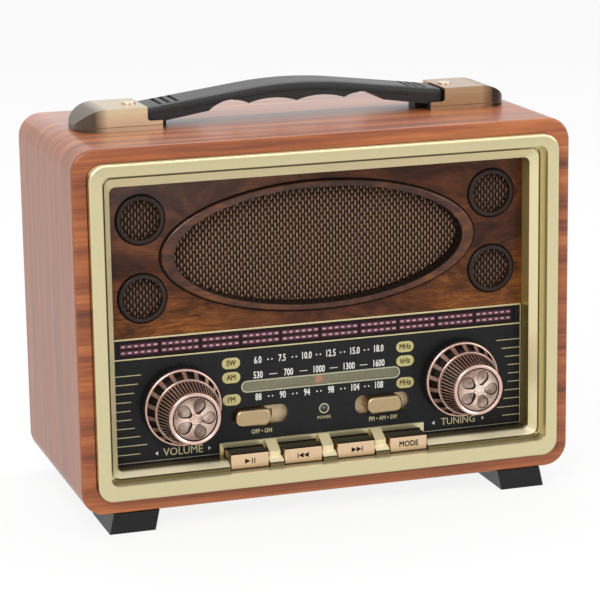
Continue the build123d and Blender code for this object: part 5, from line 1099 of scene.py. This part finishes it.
def add_floor(scene):
    """Pale floor that keeps the shadow and looks nearly white."""
    corners = [(x * FLOOR_HALF, y * FLOOR_HALF, 0) for x, y in ((-1, -1), (1, -1), (1, 1), (-1, 1))]
    mesh = bpy.data.meshes.new("studio_floor")
    mesh.from_pydata(corners, [], [(0, 1, 2, 3)])
    floor = bpy.data.objects.new("studio_floor", mesh)
    scene.collection.objects.link(floor)
    look = Look("studio_white", (0.86, 0.86, 0.86), 0.8)
    fine = look.noise(look.scaled(20, 20, 20), detail=2)
    look.color(look.ramp(fine, (0.3, (0.85, 0.85, 0.85)), (0.7, (0.87, 0.87, 0.87))))
    mixer = look.node("ShaderNodeMixShader")
    look.feed(mixer.inputs[0], look.math("MULTIPLY", background_rays(look.tree), FLOOR_WHITE))
    look.feed(mixer.inputs[1], look.bsdf.outputs[0])
    look.feed(mixer.inputs[2], look.node("ShaderNodeEmission").outputs[0])
    look.feed(look.tree.nodes["Material Output"].inputs["Surface"], mixer.outputs[0])
    mesh.materials.append(look.mat)


def add_world(scene):
    """Dim warm light from all round, seen as plain white."""
    world = bpy.data.worlds.new("studio_world")
    scene.world = world
    world.use_nodes = True
    tree = world.node_tree
    dim = tree.nodes["Background"]
    dim.inputs[0].default_value = (1.0, 0.985, 0.97, 1)
    dim.inputs[1].default_value = WORLD_STRENGTH
    plain_white = tree.nodes.new("ShaderNodeBackground")
    plain_white.inputs[0].default_value = (1, 1, 1, 1)
    plain_white.inputs[1].default_value = 1.0
    mixer = tree.nodes.new("ShaderNodeMixShader")
    tree.links.new(background_rays(tree), mixer.inputs[0])
    tree.links.new(dim.outputs[0], mixer.inputs[1])
    tree.links.new(plain_white.outputs[0], mixer.inputs[2])
    tree.links.new(mixer.outputs[0], tree.nodes["World Output"].inputs["Surface"])


def add_softbox(scene, name, at, aim, size, power):
    light = bpy.data.lights.new(name, "AREA")
    light.shape = "RECTANGLE"
    light.size, light.size_y = size
    light.energy = power
    holder = bpy.data.objects.new(name, light)
    holder.location = at
    holder.rotation_euler = (Vector(aim) - Vector(at)).to_track_quat("-Z", "Y").to_euler()
    scene.collection.objects.link(holder)


def add_camera(scene):
    """Camera at the photo's place, from its turns about the upright, level and viewing axes."""
    yaw, pitch, roll = (math.radians(angle) for angle in CAMERA_TURN)
    ahead = Vector((math.sin(yaw) * math.cos(pitch), math.cos(yaw) * math.cos(pitch), -math.sin(pitch)))
    right = Vector((math.cos(yaw), -math.sin(yaw), 0))
    up = right.cross(ahead)
    turned = math.cos(roll) * right + math.sin(roll) * up
    raised = -math.sin(roll) * right + math.cos(roll) * up
    view = bpy.data.cameras.new("camera")
    view.lens = CAMERA_LENS
    view.sensor_width = CAMERA_SENSOR
    view.clip_start = 0.01
    camera = bpy.data.objects.new("camera", view)
    rows = [(*row, 0) for row in (turned, raised, -ahead)]
    camera.matrix_world = Matrix((*rows, (*CAMERA_PLACE, 1))).transposed()
    scene.collection.objects.link(camera)
    scene.camera = camera


studio = bpy.context.scene
add_floor(studio)
add_world(studio)
for light_name, settings in SOFTBOXES.items():
    add_softbox(studio, light_name, *settings)
add_camera(studio)
studio.view_settings.view_transform = "Standard"
